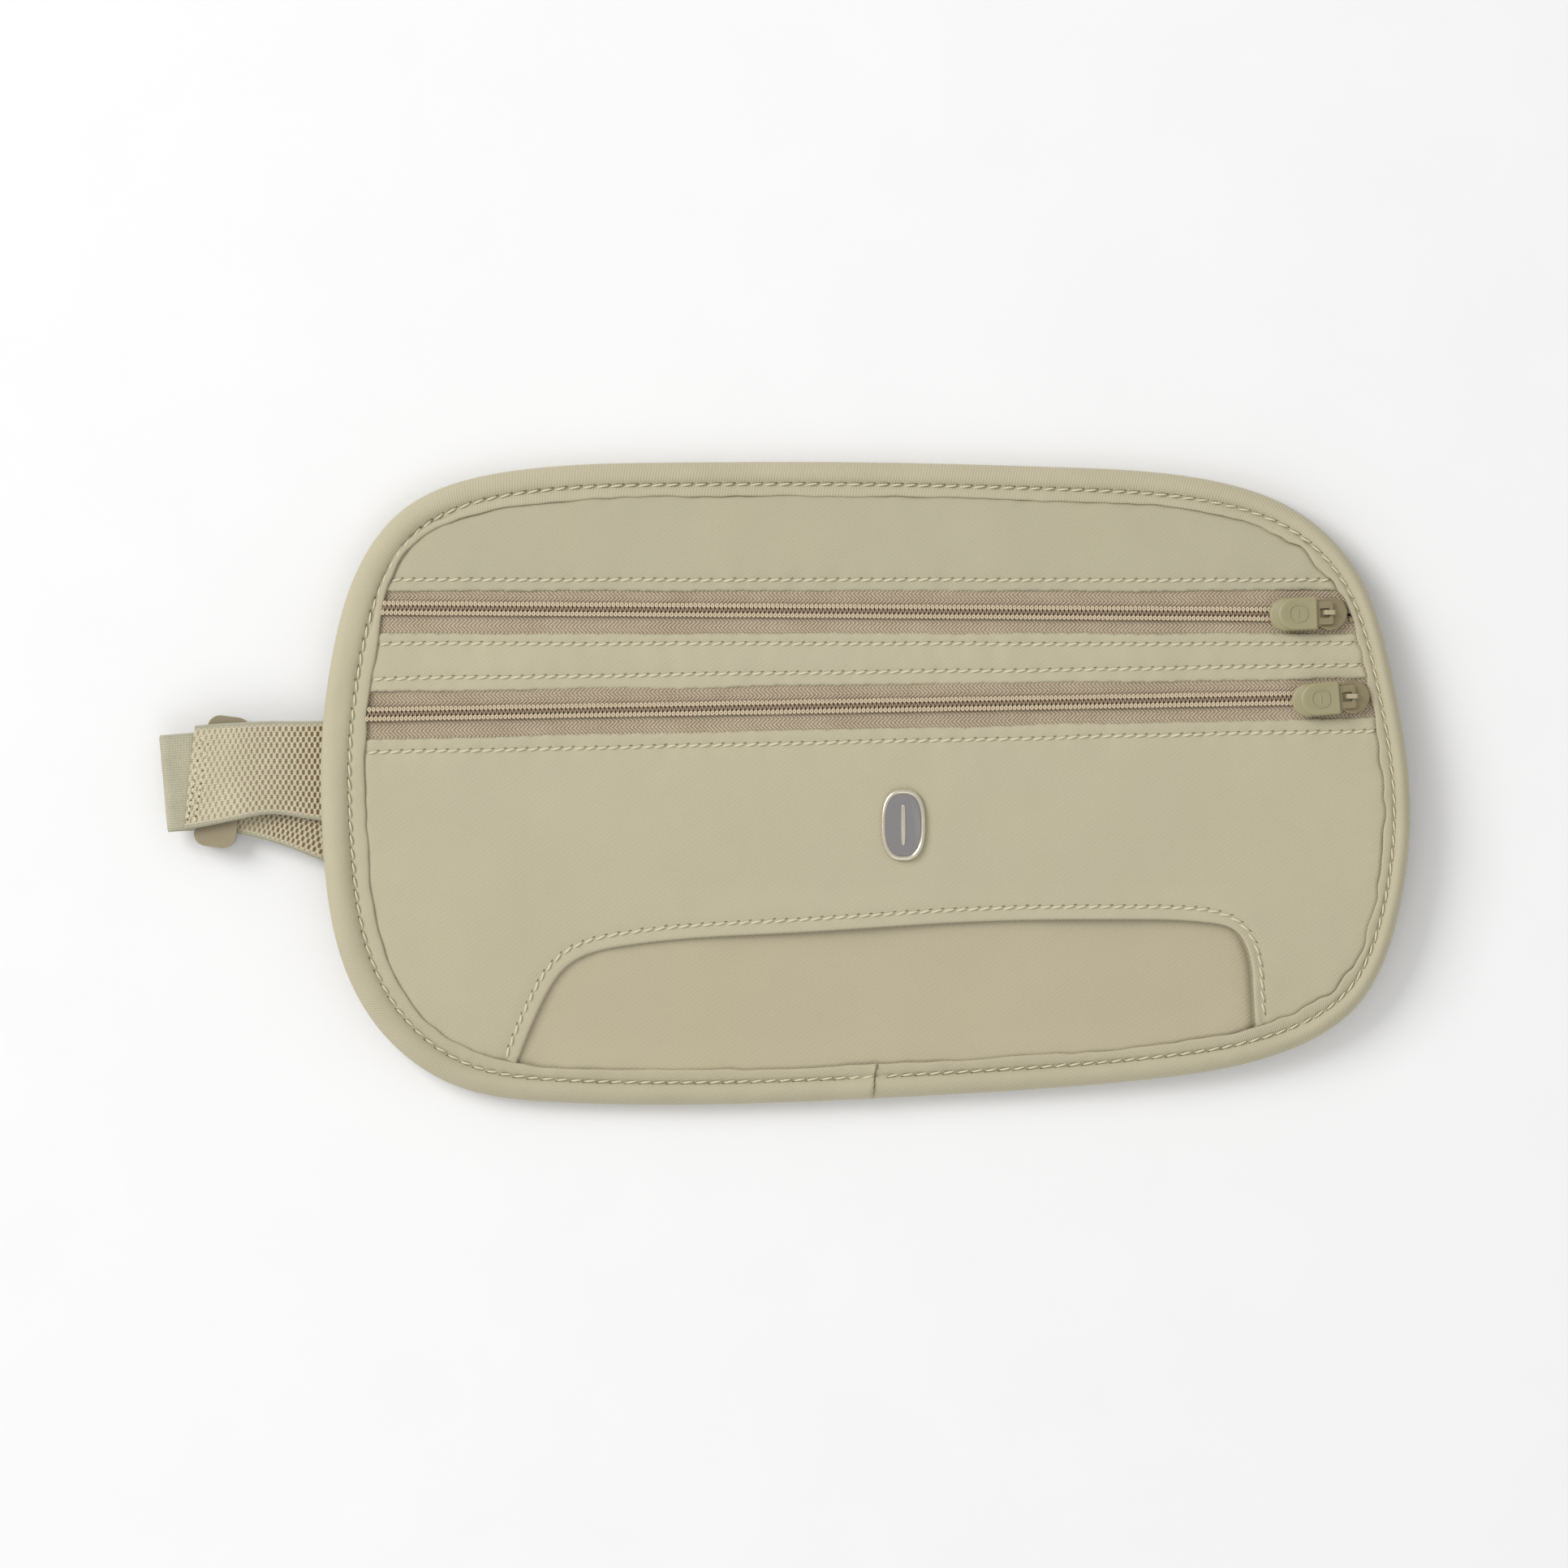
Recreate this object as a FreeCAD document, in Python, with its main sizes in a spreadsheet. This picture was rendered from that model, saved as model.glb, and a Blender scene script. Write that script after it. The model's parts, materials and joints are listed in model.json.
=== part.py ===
import FreeCAD, Part
import math
import os
import re

import Sketcher

# A flat waist pouch wallet with two coil zips, a slip pocket and an elastic waist belt.
# It lies on its back: +X runs along the zips, +Y towards the top edge, +Z out of the front.
# The pouch is gently arched over its tucked belt, so every fabric layer is a shell between two
# coaxial cylinders whose axis runs along X. A "level" is the distance from the back face of the
# pouch, measured square to the arch. All solids are drawn about the middle of the pouch and then
# placed "pouch_x" along X, which puts the origin at the bottom middle of the whole object.

Vector = FreeCAD.Vector
Rotation = FreeCAD.Rotation
Placement = FreeCAD.Placement

SIZES = {
    # The whole pouch.
    "pouch_x": 20.96,
    "arch_radius": 421.0,
    "crown_height": 9.0,
    "prism_height": 40.0,
    "span": 400.0,
    # Edge binding: a folded tape, closer to the front face on the left than on the right.
    "binding_width": 8.9,
    "binding_shift": 2.5,
    "binding_cloth": 0.7,
    "panel_inset": 1.1,
    "window_gap": 0.2,
    # Levels of the layers, back to front.
    "binding_low": -0.7,
    "binding_cavity_low": -0.1,
    "back_panel_low": 0.0,
    "back_panel_high": 1.6,
    "back_lining_low": 1.7,
    "back_lining_high": 1.9,
    "divider_low": 2.0,
    "divider_high": 2.2,
    "tape_low": 3.4,
    "tape_high": 3.9,
    "slip_low": 3.4,
    "slip_high": 3.8,
    "front_low": 4.0,
    "front_high": 4.5,
    "binding_cavity_high": 4.8,
    "binding_high": 5.5,
    "coil_high": 5.2,
    # Front panels: where their folded edges cross the middle of the pouch, and their tilts.
    "top_edge": 49.6,
    "middle_upper_edge": 38.9,
    "middle_lower_edge": 25.2,
    "middle_lower_tilt": 0.75,
    "lower_edge": 14.4,
    "lower_tilt": 1.24,
    "slip_edge": 5.0,
    # Zips: height and tilt of each chain, and where each slider rests.
    "zip1_y": 44.45,
    "zip1_tilt": -0.4,
    "zip1_slider_x": 119.6,
    "zip1_pull_yaw": 2.0,
    "zip2_y": 20.15,
    "zip2_tilt": 1.0,
    "zip2_slider_x": 125.3,
    "zip2_pull_yaw": 3.5,
    "tape_width": 10.4,
    "tape_slit": 1.2,
    "coil_inner": 0.6,
    "coil_width": 1.6,
    "stop_gap": 0.4,
    "stop_length": 1.5,
    "stop_width": 1.2,
    "stop_height": 0.8,
    # Slider, measured from the tape under the middle of its round nose.
    "slider_radius": 4.3,
    "slider_tail": 4.8,
    "slider_tail_half": 3.3,
    "slider_back_radius": 4.0,
    "slider_plate_low": 1.6,
    "slider_plate_high": 2.2,
    "slider_back_low": -1.4,
    "slider_back_high": -0.8,
    "flange_inner": 2.7,
    "flange_low": 0.4,
    "flange_front": 1.0,
    "post_start": 1.6,
    "post_end": 3.8,
    "post_half": 0.3,
    "bridge_half": 0.55,
    "bridge_inner": 1.6,
    "bridge_outer": 2.4,
    "bridge_clear": 4.2,
    "bridge_top": 4.9,
    # Pull, measured from its hinge bar.
    "hinge_height": 3.4,
    "pull_droop": 3.0,
    "link_half": 3.0,
    "link_half_thick": 0.4,
    "link_bar_radius": 0.5,
    "link_slot_half": 1.2,
    "link_slot_end": 3.1,
    "link_length": 8.0,
    "grip_start": 3.3,
    "grip_length": 12.3,
    "grip_half": 4.3,
    "grip_low": -0.65,
    "grip_high": 1.35,
    "grip_nose_radius": 4.2,
    "grip_edge": 0.3,
    "grip_recess": 0.25,
    # Plain badge plate and its enamel inlay.
    "badge_x": 9.7,
    "badge_y": -10.5,
    "badge_half_width": 5.75,
    "badge_half_height": 9.2,
    "badge_corner": 5.2,
    "badge_thick": 1.3,
    "badge_rim": 1.0,
    "badge_recess": 0.6,
    "badge_gap": 0.1,
    "inlay_thick": 0.45,
    # Elastic belt.
    "strap_width": 25.0,
    "strap_thick": 1.0,
    "fold_x": -179.0,
    "fold_y": 0.2,
    "fold_heading": 5.0,
    "fold_radius": 1.5,
    "fold_leg": 10.0,
    "loop_gap": 0.3,
    "belt_height": 5.0,
    "return_height": 2.1,
    "belt_turn_radius": 78.0,
    "belt_turn": 27.0,
    "belt_run": 4.9,
    "belt_back_radius": 60.0,
    "belt_back_turn": 22.0,
    "return_turn": 4.85,
    "tab_start_x": -126.0,
    "tab_y": 3.8,
    "tab_height": 7.1,
    "right_start_x": 130.0,
    "right_y": 4.0,
    # Three-bar slide.
    "glide_x": -165.9,
    "glide_y": 0.6,
    "glide_tilt": -7.4,
    "glide_half_length": 16.95,
    "glide_half_width": 5.4,
    "glide_rail_inner": 13.6,
    "glide_lip_inner": 10.2,
    "glide_bar_width": 2.6,
    "glide_low": 1.6,
    "glide_centre_high": 2.9,
    "glide_centre_half": 1.6,
    "glide_outer_low": 5.8,
    "glide_high": 7.2,
    "glide_corner": 3.4,
    "glide_round": 0.6,
    "end_loop_leg": 21.0,
    "end_loop_radius": 1.45,
    # Side-release buckle, measured from its middle.
    "buckle_x": 1.0,
    "buckle_y": -11.4,
    "buckle_half_width": 16.0,
    "buckle_high": 6.6,
    "buckle_corner": 2.5,
    "female_mouth": -4.0,
    "female_back": 24.0,
    "cavity_back": 20.0,
    "cavity_half": 14.4,
    "cavity_low": 1.3,
    "cavity_high": 5.3,
    "window_front": 3.5,
    "window_back": 14.0,
    "arm_inner": 13.4,
    "arm_low": 1.6,
    "arm_high": 5.5,
    "bar_start": 29.0,
    "bar_end": 31.5,
    "bar_low": 2.9,
    "bar_high": 4.2,
    "male_front": -4.6,
    "male_back": -16.0,
    "tongue_end": 12.0,
    "tongue_half": 3.0,
    "prong_low": 1.7,
    "prong_high": 4.9,
    "prong_root_x": -7.5,
    "prong_root_y": 9.7,
    "prong_root_radius": 2.2,
    "prong_socket_gap": 0.35,
    "prong_inner": 8.7,
    "prong_outer": 10.9,
    "paddle_front": 4.0,
    "paddle_back": 13.0,
    "paddle_face": 16.2,
}

# Points on the outer edge of the pouch, clockwise from the top; a smooth closed curve joins them.
OUTLINE = [
    (-50, 83), (0, 83.05), (50, 81.8), (88, 78.6), (111.5, 70.2), (127, 54.2), (135.5, 28), (140, -2),
    (137.2, -33.5), (126.5, -57.5), (106, -69.8), (75, -76), (20, -80.2), (-35, -82.6), (-80, -82.1),
    (-107, -77.3), (-125.5, -63), (-135.3, -44), (-139.5, -18), (-139.9, 12), (-137.3, 33), (-131.4, 54),
    (-120.5, 69.7), (-88, 81.2),
]

# Points on the cut edge that uncovers the slip pocket, from its left foot over to its right foot.
ARCH_EDGE = [
    (-93, -82), (-82.6, -55.2), (-76.7, -46.9), (-62, -41.7), (-20, -38.4), (30, -35.4), (70, -34.9),
    (90.3, -36.2), (97.2, -40.8), (99.9, -50), (100.3, -64), (100.6, -92),
]

OUTLINE_STEPS = 60

doc = FreeCAD.newDocument("waist_pouch")
sheet = doc.addObject("Spreadsheet::Sheet", "Sizes")
for row, (alias, number) in enumerate(SIZES.items(), 1):
    sheet.set(f"A{row}", alias)
    sheet.set(f"B{row}", str(number))
    sheet.setAlias(f"B{row}", alias)
doc.recompute()

nodes = []


def size(alias):
    """A size read back from the sheet."""
    return float(getattr(sheet, alias))


def bind(thing, **formulas):
    """Bind properties to formulas over the sheet's names; __ in a property's name stands for a dot."""
    for prop, formula in formulas.items():
        text = re.sub(r"[a-z]\w*", lambda word: ("Sizes." if word[0] in SIZES else "") + word[0], formula)
        thing.setExpression(prop.replace("__", "."), text)


def keep(thing, name):
    """Name a finished sub-part."""
    thing.Label = name
    nodes.append(thing)
    return thing


# --- Fabric layers: shells of the arch ---------------------------------------------------------

def smooth_curve(points, closed):
    curve = Part.BSplineCurve()
    curve.interpolate([Vector(*point[:2], 0) for point in points], PeriodicFlag=closed)
    return curve


def inset_wire(inset, shift):
    """The pouch's outline moved inwards by "inset" all round and to the right by "shift"."""
    outer = smooth_curve(OUTLINE, True)
    first, last = outer.FirstParameter, outer.LastParameter
    points = []
    for step in range(OUTLINE_STEPS):
        place = first + (last - first) * step / OUTLINE_STEPS
        along = outer.tangent(place)[0]
        inwards = Vector(along.y, -along.x, 0)
        points.append(outer.value(place) + inwards * inset + Vector(shift, 0, 0))
    return Part.Wire([smooth_curve(points, True).toShape()])


def prism(name, wire):
    solid = doc.addObject("Part::Extrusion", name)
    solid.Base = wire
    solid.DirMode = "Custom"
    solid.Dir = Vector(0, 0, 1)
    solid.Solid = True
    bind(solid, LengthFwd="prism_height", LengthRev="prism_height")
    return solid


def inset_prism(name, inset, shift=0.0):
    edge = doc.addObject("Part::Feature", name + "_edge")
    edge.Shape = inset_wire(inset, shift)
    return prism(name, edge)


def arch_prism():
    first, last = ARCH_EDGE[0], ARCH_EDGE[-1]
    foot = Part.makeLine(Vector(*last, 0), Vector(first[0], last[1], 0))
    side = Part.makeLine(Vector(first[0], last[1], 0), Vector(*first, 0))
    edge = doc.addObject("Part::Feature", "arch_edge")
    edge.Shape = Part.Wire([smooth_curve(ARCH_EDGE, False).toShape(), foot, side])
    return prism("arch_prism", edge)


def band(name, low, width, tilt="0", length="span"):
    """A tall box whose lower side crosses the middle of the pouch at "low" and runs at "tilt"."""
    box = doc.addObject("Part::Box", name)
    bind(box, Length=length, Width=width, Height="prism_height", Placement__Rotation__Angle=tilt)
    bind(box, Placement__Base__x=f"-span / 2 * cos({tilt})")
    bind(box, Placement__Base__y=f"{low} - span / 2 * sin({tilt})")
    return box


cylinders = {}


def arch(level):
    """The solid cylinder whose skin is the arch at this level."""
    if level not in cylinders:
        cylinder = doc.addObject("Part::Cylinder", "arch_" + re.sub(r"\W", "_", level))
        cylinder.Placement = Placement(Vector(0, 0, 0), Rotation(Vector(0, 1, 0), 90))
        bind(cylinder, Radius=f"arch_radius + {level}", Height="span", Placement__Base__x="-span / 2")
        bind(cylinder, Placement__Base__z="crown_height - arch_radius")
        cylinders[level] = cylinder
    return cylinders[level]


def shell(name, low, high, inside, outside=()):
    """The layer between two levels that lies inside some solids and outside others."""
    common = doc.addObject("Part::MultiCommon", name + "_stock")
    common.Shapes = [arch(high), *inside]
    solid = common
    for index, tool in enumerate([arch(low), *outside]):
        cut = doc.addObject("Part::Cut", f"{name}_cut_{index}")
        cut.Base = solid
        cut.Tool = tool
        solid = cut
    return solid


def layer(name, low, high, inside, outside=()):
    solid = shell(name, low, high, inside, outside)
    bind(solid, Placement__Base__x="pouch_x")
    return keep(solid, name)


def make_panels():
    layer("back_panel", "back_panel_low", "back_panel_high", [panel_prism])
    layer("back_lining", "back_lining_low", "back_lining_high", [panel_prism])
    layer("pocket_divider", "divider_low", "divider_high", [panel_prism])
    below_slip = band("below_slip", "slip_edge - span", "span")
    layer("slip_pocket_panel", "slip_low", "slip_high", [panel_prism, below_slip])
    above_top = band("above_top", "top_edge", "span")
    layer("front_top_strip", "front_low", "front_high", [panel_prism, above_top])
    below_middle = band("below_middle", "middle_upper_edge - span", "span")
    above_middle = band("above_middle", "middle_lower_edge", "span", "middle_lower_tilt")
    layer("front_middle_strip", "front_low", "front_high", [panel_prism, below_middle, above_middle])
    below_lower = band("below_lower", "lower_edge - span / cos(lower_tilt)", "span", "lower_tilt")
    layer("front_lower_panel", "front_low", "front_high", [panel_prism, below_lower], [arch_prism()])


def make_binding():
    """One tape folded round the edges of all the panels: a channel with its mouth inwards."""
    rim = inset_prism("rim_prism", 0.0)
    cavity = shell("binding_cavity", "binding_cavity_low", "binding_cavity_high",
                   [inset_prism("cavity_prism", size("binding_cloth"))])
    hole = inset_prism("hole_prism", size("binding_width"), size("binding_shift"))
    layer("edge_binding", "binding_low", "binding_high", [rim], [cavity, hole])


# --- Zips --------------------------------------------------------------------------------------

def make_chain(name):
    """Two woven tapes with a coil sewn along each, facing each other over a narrow slit."""
    middle, tilt = name + "_y", name + "_tilt"
    rows = {
        "tape_upper": (f"{middle} + tape_slit / 2", "tape_width - tape_slit / 2"),
        "tape_lower": (f"{middle} - tape_width", "tape_width - tape_slit / 2"),
        "coil_upper": (f"{middle} + coil_inner", "coil_width"),
        "coil_lower": (f"{middle} - coil_inner - coil_width", "coil_width"),
    }
    chain_end = f"span / 2 + {name}_slider_x + slider_radius + stop_gap"
    for part, (low, width) in rows.items():
        if part.startswith("tape"):
            strip = band(f"{name}_{part}_band", low, width, tilt)
            layer(f"{name}_{part}", "tape_low", "tape_high", [panel_prism, strip])
        else:
            strip = band(f"{name}_{part}_band", low, width, tilt, chain_end)
            layer(f"{name}_{part}", "tape_high", "coil_high", [window_prism, strip])


def surface_frame(y, level, turn):
    """A frame on the arch: z square to the cloth, x turned by "turn" degrees in its plane."""
    radius = size("arch_radius") + level
    slope = math.degrees(math.asin(y / radius))
    height = size("crown_height") - size("arch_radius") + math.sqrt(radius ** 2 - y ** 2)
    square = Rotation(Vector(1, 0, 0), -slope)
    return Placement(Vector(size("pouch_x"), y, height), square.multiply(Rotation(Vector(0, 0, 1), turn)))


def slider_frame(name):
    frame = surface_frame(size(name + "_y"), size("tape_high"), size(name + "_tilt"))
    return frame.multiply(Placement(Vector(size(name + "_slider_x"), 0, 0), Rotation()))


def pull_frame(name):
    hinge = Placement(Vector(0, 0, size("hinge_height")), Rotation(Vector(0, 0, 1), size(name + "_pull_yaw")))
    droop = Placement(Vector(), Rotation(Vector(0, 1, 0), -size("pull_droop")))
    return slider_frame(name).multiply(hinge).multiply(droop)


# --- Small PartDesign tools ----------------------------------------------------------------------

def new_body(name):
    body = doc.addObject("PartDesign::Body", name)
    return keep(body, name)


def new_sketch(body, name, height):
    """A sketch parallel to the body's XY plane."""
    sketch = body.newObject("Sketcher::SketchObject", name)
    plane = [item for item in body.Origin.OriginFeatures if item.Role == "XY_Plane"][0]
    sketch.AttachmentSupport = [(plane, "")]
    sketch.MapMode = "FlatFace"
    bind(sketch, AttachmentOffset__Base__z=height)
    return sketch


def dimension(sketch, kind, geometry, formula):
    index = sketch.addConstraint(Sketcher.Constraint(kind, *geometry, 1.0))
    text = {f"Constraints[{index}]": formula}
    bind(sketch, **text)


def draw_rectangle(sketch, x_low, x_high, y_low, y_high):
    first = sketch.GeometryCount
    corners = [Vector(0, 0, 0), Vector(1, 0, 0), Vector(1, 1, 0), Vector(0, 1, 0)]
    for start, end in zip(corners, corners[1:] + corners[:1]):
        sketch.addGeometry(Part.LineSegment(start, end), False)
    for side in range(4):
        sketch.addConstraint(Sketcher.Constraint("Coincident", first + side, 2, first + (side + 1) % 4, 1))
        sketch.addConstraint(Sketcher.Constraint("Vertical" if side % 2 else "Horizontal", first + side))
    dimension(sketch, "DistanceX", (-1, 1, first, 1), x_low)
    dimension(sketch, "DistanceX", (-1, 1, first + 1, 2), x_high)
    dimension(sketch, "DistanceY", (-1, 1, first, 1), y_low)
    dimension(sketch, "DistanceY", (-1, 1, first + 1, 2), y_high)


def extrude(body, name, sketch, low, high, kind="Pad"):
    """Add (Pad) or remove (Pocket) what the sketch covers between two heights."""
    before = body.Shape.Volume if body.Tip else 0.0
    feature = body.newObject("PartDesign::" + kind, name)
    feature.Profile = sketch
    feature.Reversed = kind == "Pocket"
    bind(feature, Length=f"({high}) - ({low})")
    sketch.Visibility = False
    doc.recompute()
    change = feature.Shape.Volume - before
    if change * (1 if kind == "Pad" else -1) <= 0:
        raise RuntimeError(f"{body.Name}: {name} changes nothing")
    return feature


def block(body, name, low, high, *rectangles, kind="Pad"):
    sketch = new_sketch(body, name + "_sketch", low)
    for rectangle in rectangles:
        draw_rectangle(sketch, *rectangle)
    return extrude(body, name, sketch, low, high, kind)


def disc(body, name, low, high, x, y, radius, kind="Pad"):
    sketch = new_sketch(body, name + "_sketch", low)
    sketch.addGeometry(Part.Circle(Vector(0, 0, 0), Vector(0, 0, 1), 1.0), False)
    dimension(sketch, "DistanceX", (-1, 1, 0, 3), x)
    dimension(sketch, "DistanceY", (-1, 1, 0, 3), y)
    dimension(sketch, "Radius", (0,), radius)
    return extrude(body, name, sketch, low, high, kind)


def round_edges(body, name, radius, chosen):
    """Fillet the edges of the body's last feature that the test "chosen" picks by their middles."""
    base = body.Tip
    names = []
    for index, edge in enumerate(base.Shape.Edges, 1):
        middle = edge.valueAt((edge.FirstParameter + edge.LastParameter) / 2)
        upright = abs(edge.tangentAt(edge.FirstParameter).z) > 0.99
        if chosen(middle, upright):
            names.append(f"Edge{index}")
    fillet = body.newObject("PartDesign::Fillet", name)
    fillet.Base = (base, names)
    bind(fillet, Radius=radius)
    doc.recompute()
    return fillet


# --- Zip hardware --------------------------------------------------------------------------------

def make_slider(name):
    """Front plate with side flanges, back plate, the post between them and a bridge for the pull."""
    body = new_body(name + "_slider")
    block(body, "post", "slider_back_low", "slider_plate_high",
          ("post_start", "post_end", "-post_half", "post_half"))
    for plate, radius, low, high in (
            ("front", "slider_radius", "slider_plate_low", "slider_plate_high"),
            ("back", "slider_back_radius", "slider_back_low", "slider_back_high")):
        disc(body, plate + "_nose", low, high, "0", "0", radius)
        block(body, plate + "_tail", low, high, ("-slider_tail", "0", "-slider_tail_half", "slider_tail_half"))
    block(body, "flanges", "flange_low", "slider_plate_high",
          ("-slider_tail", "flange_front", "flange_inner", "slider_tail_half"),
          ("-slider_tail", "flange_front", "-slider_tail_half", "-flange_inner"))
    block(body, "bridge_legs", "slider_plate_high", "bridge_top",
          ("-bridge_outer", "-bridge_inner", "-bridge_half", "bridge_half"),
          ("bridge_inner", "bridge_outer", "-bridge_half", "bridge_half"))
    block(body, "bridge", "bridge_clear", "bridge_top",
          ("-bridge_outer", "bridge_outer", "-bridge_half", "bridge_half"))
    body.Placement = slider_frame(name)


def make_pull(name):
    """A wire-thin link on the bridge with a D-shaped grip moulded over its far end."""
    link = new_body(name + "_pull_link")
    block(link, "plate", "-link_half_thick", "link_half_thick",
          ("-link_length", "-link_slot_end", "-link_half", "link_half"))
    block(link, "arms", "-link_half_thick", "link_half_thick",
          ("-link_slot_end", "0", "link_slot_half", "link_half"),
          ("-link_slot_end", "0", "-link_half", "-link_slot_half"))
    bar = link.newObject("PartDesign::AdditiveCylinder", "hinge_bar")
    plane = [item for item in link.Origin.OriginFeatures if item.Role == "XZ_Plane"][0]
    bar.AttachmentSupport = [(plane, "")]
    bar.MapMode = "FlatFace"
    bind(bar, Radius="link_bar_radius", Height="2 * link_half", AttachmentOffset__Base__z="-link_half")
    doc.recompute()
    link.Placement = pull_frame(name)

    grip = new_body(name + "_pull_grip")
    block(grip, "slab", "grip_low", "grip_high",
          ("-grip_start - grip_length", "-grip_start", "-grip_half", "grip_half"))
    round_edges(grip, "nose", "grip_nose_radius",
                lambda middle, upright: upright and middle.x < -size("grip_start") - 1)
    block(grip, "link_socket", "-link_half_thick", "link_half_thick",
          ("-link_length", "-grip_start + 0.1", "-link_half", "link_half"), kind="Pocket")
    round_edges(grip, "front_edge", "grip_edge",
                lambda middle, upright: not upright and middle.z > size("grip_high") - 0.01)
    block(grip, "thumb_recess", "grip_high - grip_recess", "grip_high",
          ("-grip_start - grip_length + 3.6", "-grip_start - 1.8", "-grip_half + 1.8", "grip_half - 1.8"),
          kind="Pocket")
    grip.Placement = pull_frame(name)


def make_stops(name):
    """Two small crimps that end the chain beside the closed slider, one on each tape."""
    pair = doc.addObject("Part::Compound", name + "_top_stops")
    crimps = []
    for side in (-1, 1):
        crimp = doc.addObject("Part::Box", name + "_crimp")
        bind(crimp, Length="stop_length", Width="stop_width", Height="stop_height")
        bind(crimp, Placement__Base__x="slider_radius + stop_gap + 0.1")
        bind(crimp, Placement__Base__y="coil_inner" if side > 0 else "-coil_inner - stop_width")
        crimps.append(crimp)
    pair.Links = crimps
    pair.Placement = slider_frame(name)
    keep(pair, name + "_top_stops")


# --- Badge ---------------------------------------------------------------------------------------

def make_badge():
    frame = surface_frame(size("badge_y"), size("front_high") + size("badge_gap"), 0)
    frame = frame.multiply(Placement(Vector(size("badge_x"), 0, 0), Rotation()))
    plate = new_body("badge_plate")
    block(plate, "slab", "0", "badge_thick",
          ("-badge_half_width", "badge_half_width", "-badge_half_height", "badge_half_height"))
    round_edges(plate, "corners", "badge_corner", lambda middle, upright: upright)
    recess = new_sketch(plate, "recess_sketch", "badge_thick - badge_recess")
    draw_inlay(recess, 0.0)
    extrude(plate, "recess", recess, "badge_thick - badge_recess", "badge_thick", "Pocket")
    plate.Placement = frame

    inlay = new_body("badge_inlay")
    face = new_sketch(inlay, "inlay_sketch", "badge_thick - badge_recess")
    draw_inlay(face, 0.05)
    extrude(inlay, "enamel", face, "0", "inlay_thick")
    inlay.Placement = frame


def draw_inlay(sketch, gap):
    """The oblong inside the badge's rim."""
    draw_rectangle(sketch, f"-badge_half_width + badge_rim + {gap}", f"badge_half_width - badge_rim - {gap}",
                   f"-badge_half_height + badge_rim * 2 + {gap}", f"badge_half_height - badge_rim * 2 - {gap}")


# --- Elastic belt --------------------------------------------------------------------------------

class Path:
    """A strap's middle line, laid out as runs, turns in the strap's plane and bends out of it."""

    def __init__(self, x, y, height, heading, pitch=0.0):
        self.point = Vector(x, y, height)
        turn = Rotation(Vector(0, 0, 1), heading)
        self.along = turn.multVec(Vector(math.cos(math.radians(pitch)), 0, math.sin(math.radians(pitch))))
        self.across = turn.multVec(Vector(0, 1, 0))
        self.start = (Vector(self.point), Vector(self.along), Vector(self.across))
        self.edges = []
        self.length = 0.0

    def run(self, length):
        end = self.point + self.along * length
        self.edges.append(Part.makeLine(self.point, end))
        self.point = end
        self.length += length
        return self

    def curve(self, radius, degrees, axis, centre_side):
        """An arc about an axis; the centre lies "radius" to the given side."""
        centre = self.point + centre_side * radius
        half = Rotation(axis, degrees / 2)
        full = Rotation(axis, degrees)
        middle = centre + half.multVec(self.point - centre)
        end = centre + full.multVec(self.point - centre)
        self.edges.append(Part.Arc(self.point, middle, end).toShape())
        self.point = end
        self.along = full.multVec(self.along)
        self.across = full.multVec(self.across)
        self.length += radius * math.radians(abs(degrees))
        return self

    def turn(self, radius, degrees):
        """Turn left (positive) or right (negative) in the strap's own plane."""
        side = self.across * math.copysign(1, degrees)
        return self.curve(radius, degrees, self.along.cross(self.across), side)

    def bend(self, radius, degrees):
        """Bend towards the strap's upper face (positive) or its lower face (negative)."""
        upper = self.along.cross(self.across)
        return self.curve(radius, -degrees, self.across, upper * math.copysign(1, degrees))

    def strap(self, name):
        """A flat strap along the path."""
        point, along, across = self.start
        side = across * (size("strap_width") / 2)
        up = along.cross(across) * (size("strap_thick") / 2)
        corners = [point + side + up, point - side + up, point - side - up, point + side - up]
        section = Part.makePolygon(corners + corners[:1])
        feature = doc.addObject("Part::Feature", name)
        feature.Shape = Part.Wire(self.edges).makePipeShell([section], True, False)
        expected = self.length * size("strap_width") * size("strap_thick")
        if abs(feature.Shape.Volume / expected - 1) > 0.01:
            raise RuntimeError(f"{name}: volume {feature.Shape.Volume:.0f}, expected {expected:.0f}")
        print(f"{name}: {self.length:.1f} mm long")
        feature.Placement = Placement(Vector(size("pouch_x"), 0, 0), Rotation())
        return keep(feature, name)


def make_belt():
    """The long strap folds back on itself at the left, runs under the pouch, goes round the male
    bar and comes back to the three-bar slide."""
    heading = size("fold_heading")
    turn = Rotation(Vector(0, 0, 1), heading)
    fold = Vector(size("fold_x"), size("fold_y"), size("belt_height") + 2 * size("fold_radius"))
    start = fold + turn.multVec(Vector(size("fold_leg"), 0, 0))
    bar_radius = (size("belt_height") - size("return_height")) / 2
    belt = Path(start.x, start.y, start.z, heading + 180)
    belt.run(size("fold_leg"))
    belt.bend(size("fold_radius"), -180)
    belt.turn(size("belt_turn_radius"), size("belt_turn"))
    belt.run(size("belt_run"))
    belt.turn(size("belt_back_radius"), -size("belt_back_turn"))
    inner_radius = bar_radius - size("strap_thick") / 2
    bar_edge = size("buckle_x") - size("bar_start")
    under_run = bar_edge + size("loop_gap") - inner_radius - belt.point.x
    belt.run(under_run)
    belt.bend(bar_radius, 180)
    belt.run(under_run)
    belt.turn(size("belt_back_radius"), -size("belt_back_turn"))
    belt.run(size("belt_run"))
    belt.turn(size("belt_turn_radius"), size("return_turn"))
    belt.strap("strap_long")


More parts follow.
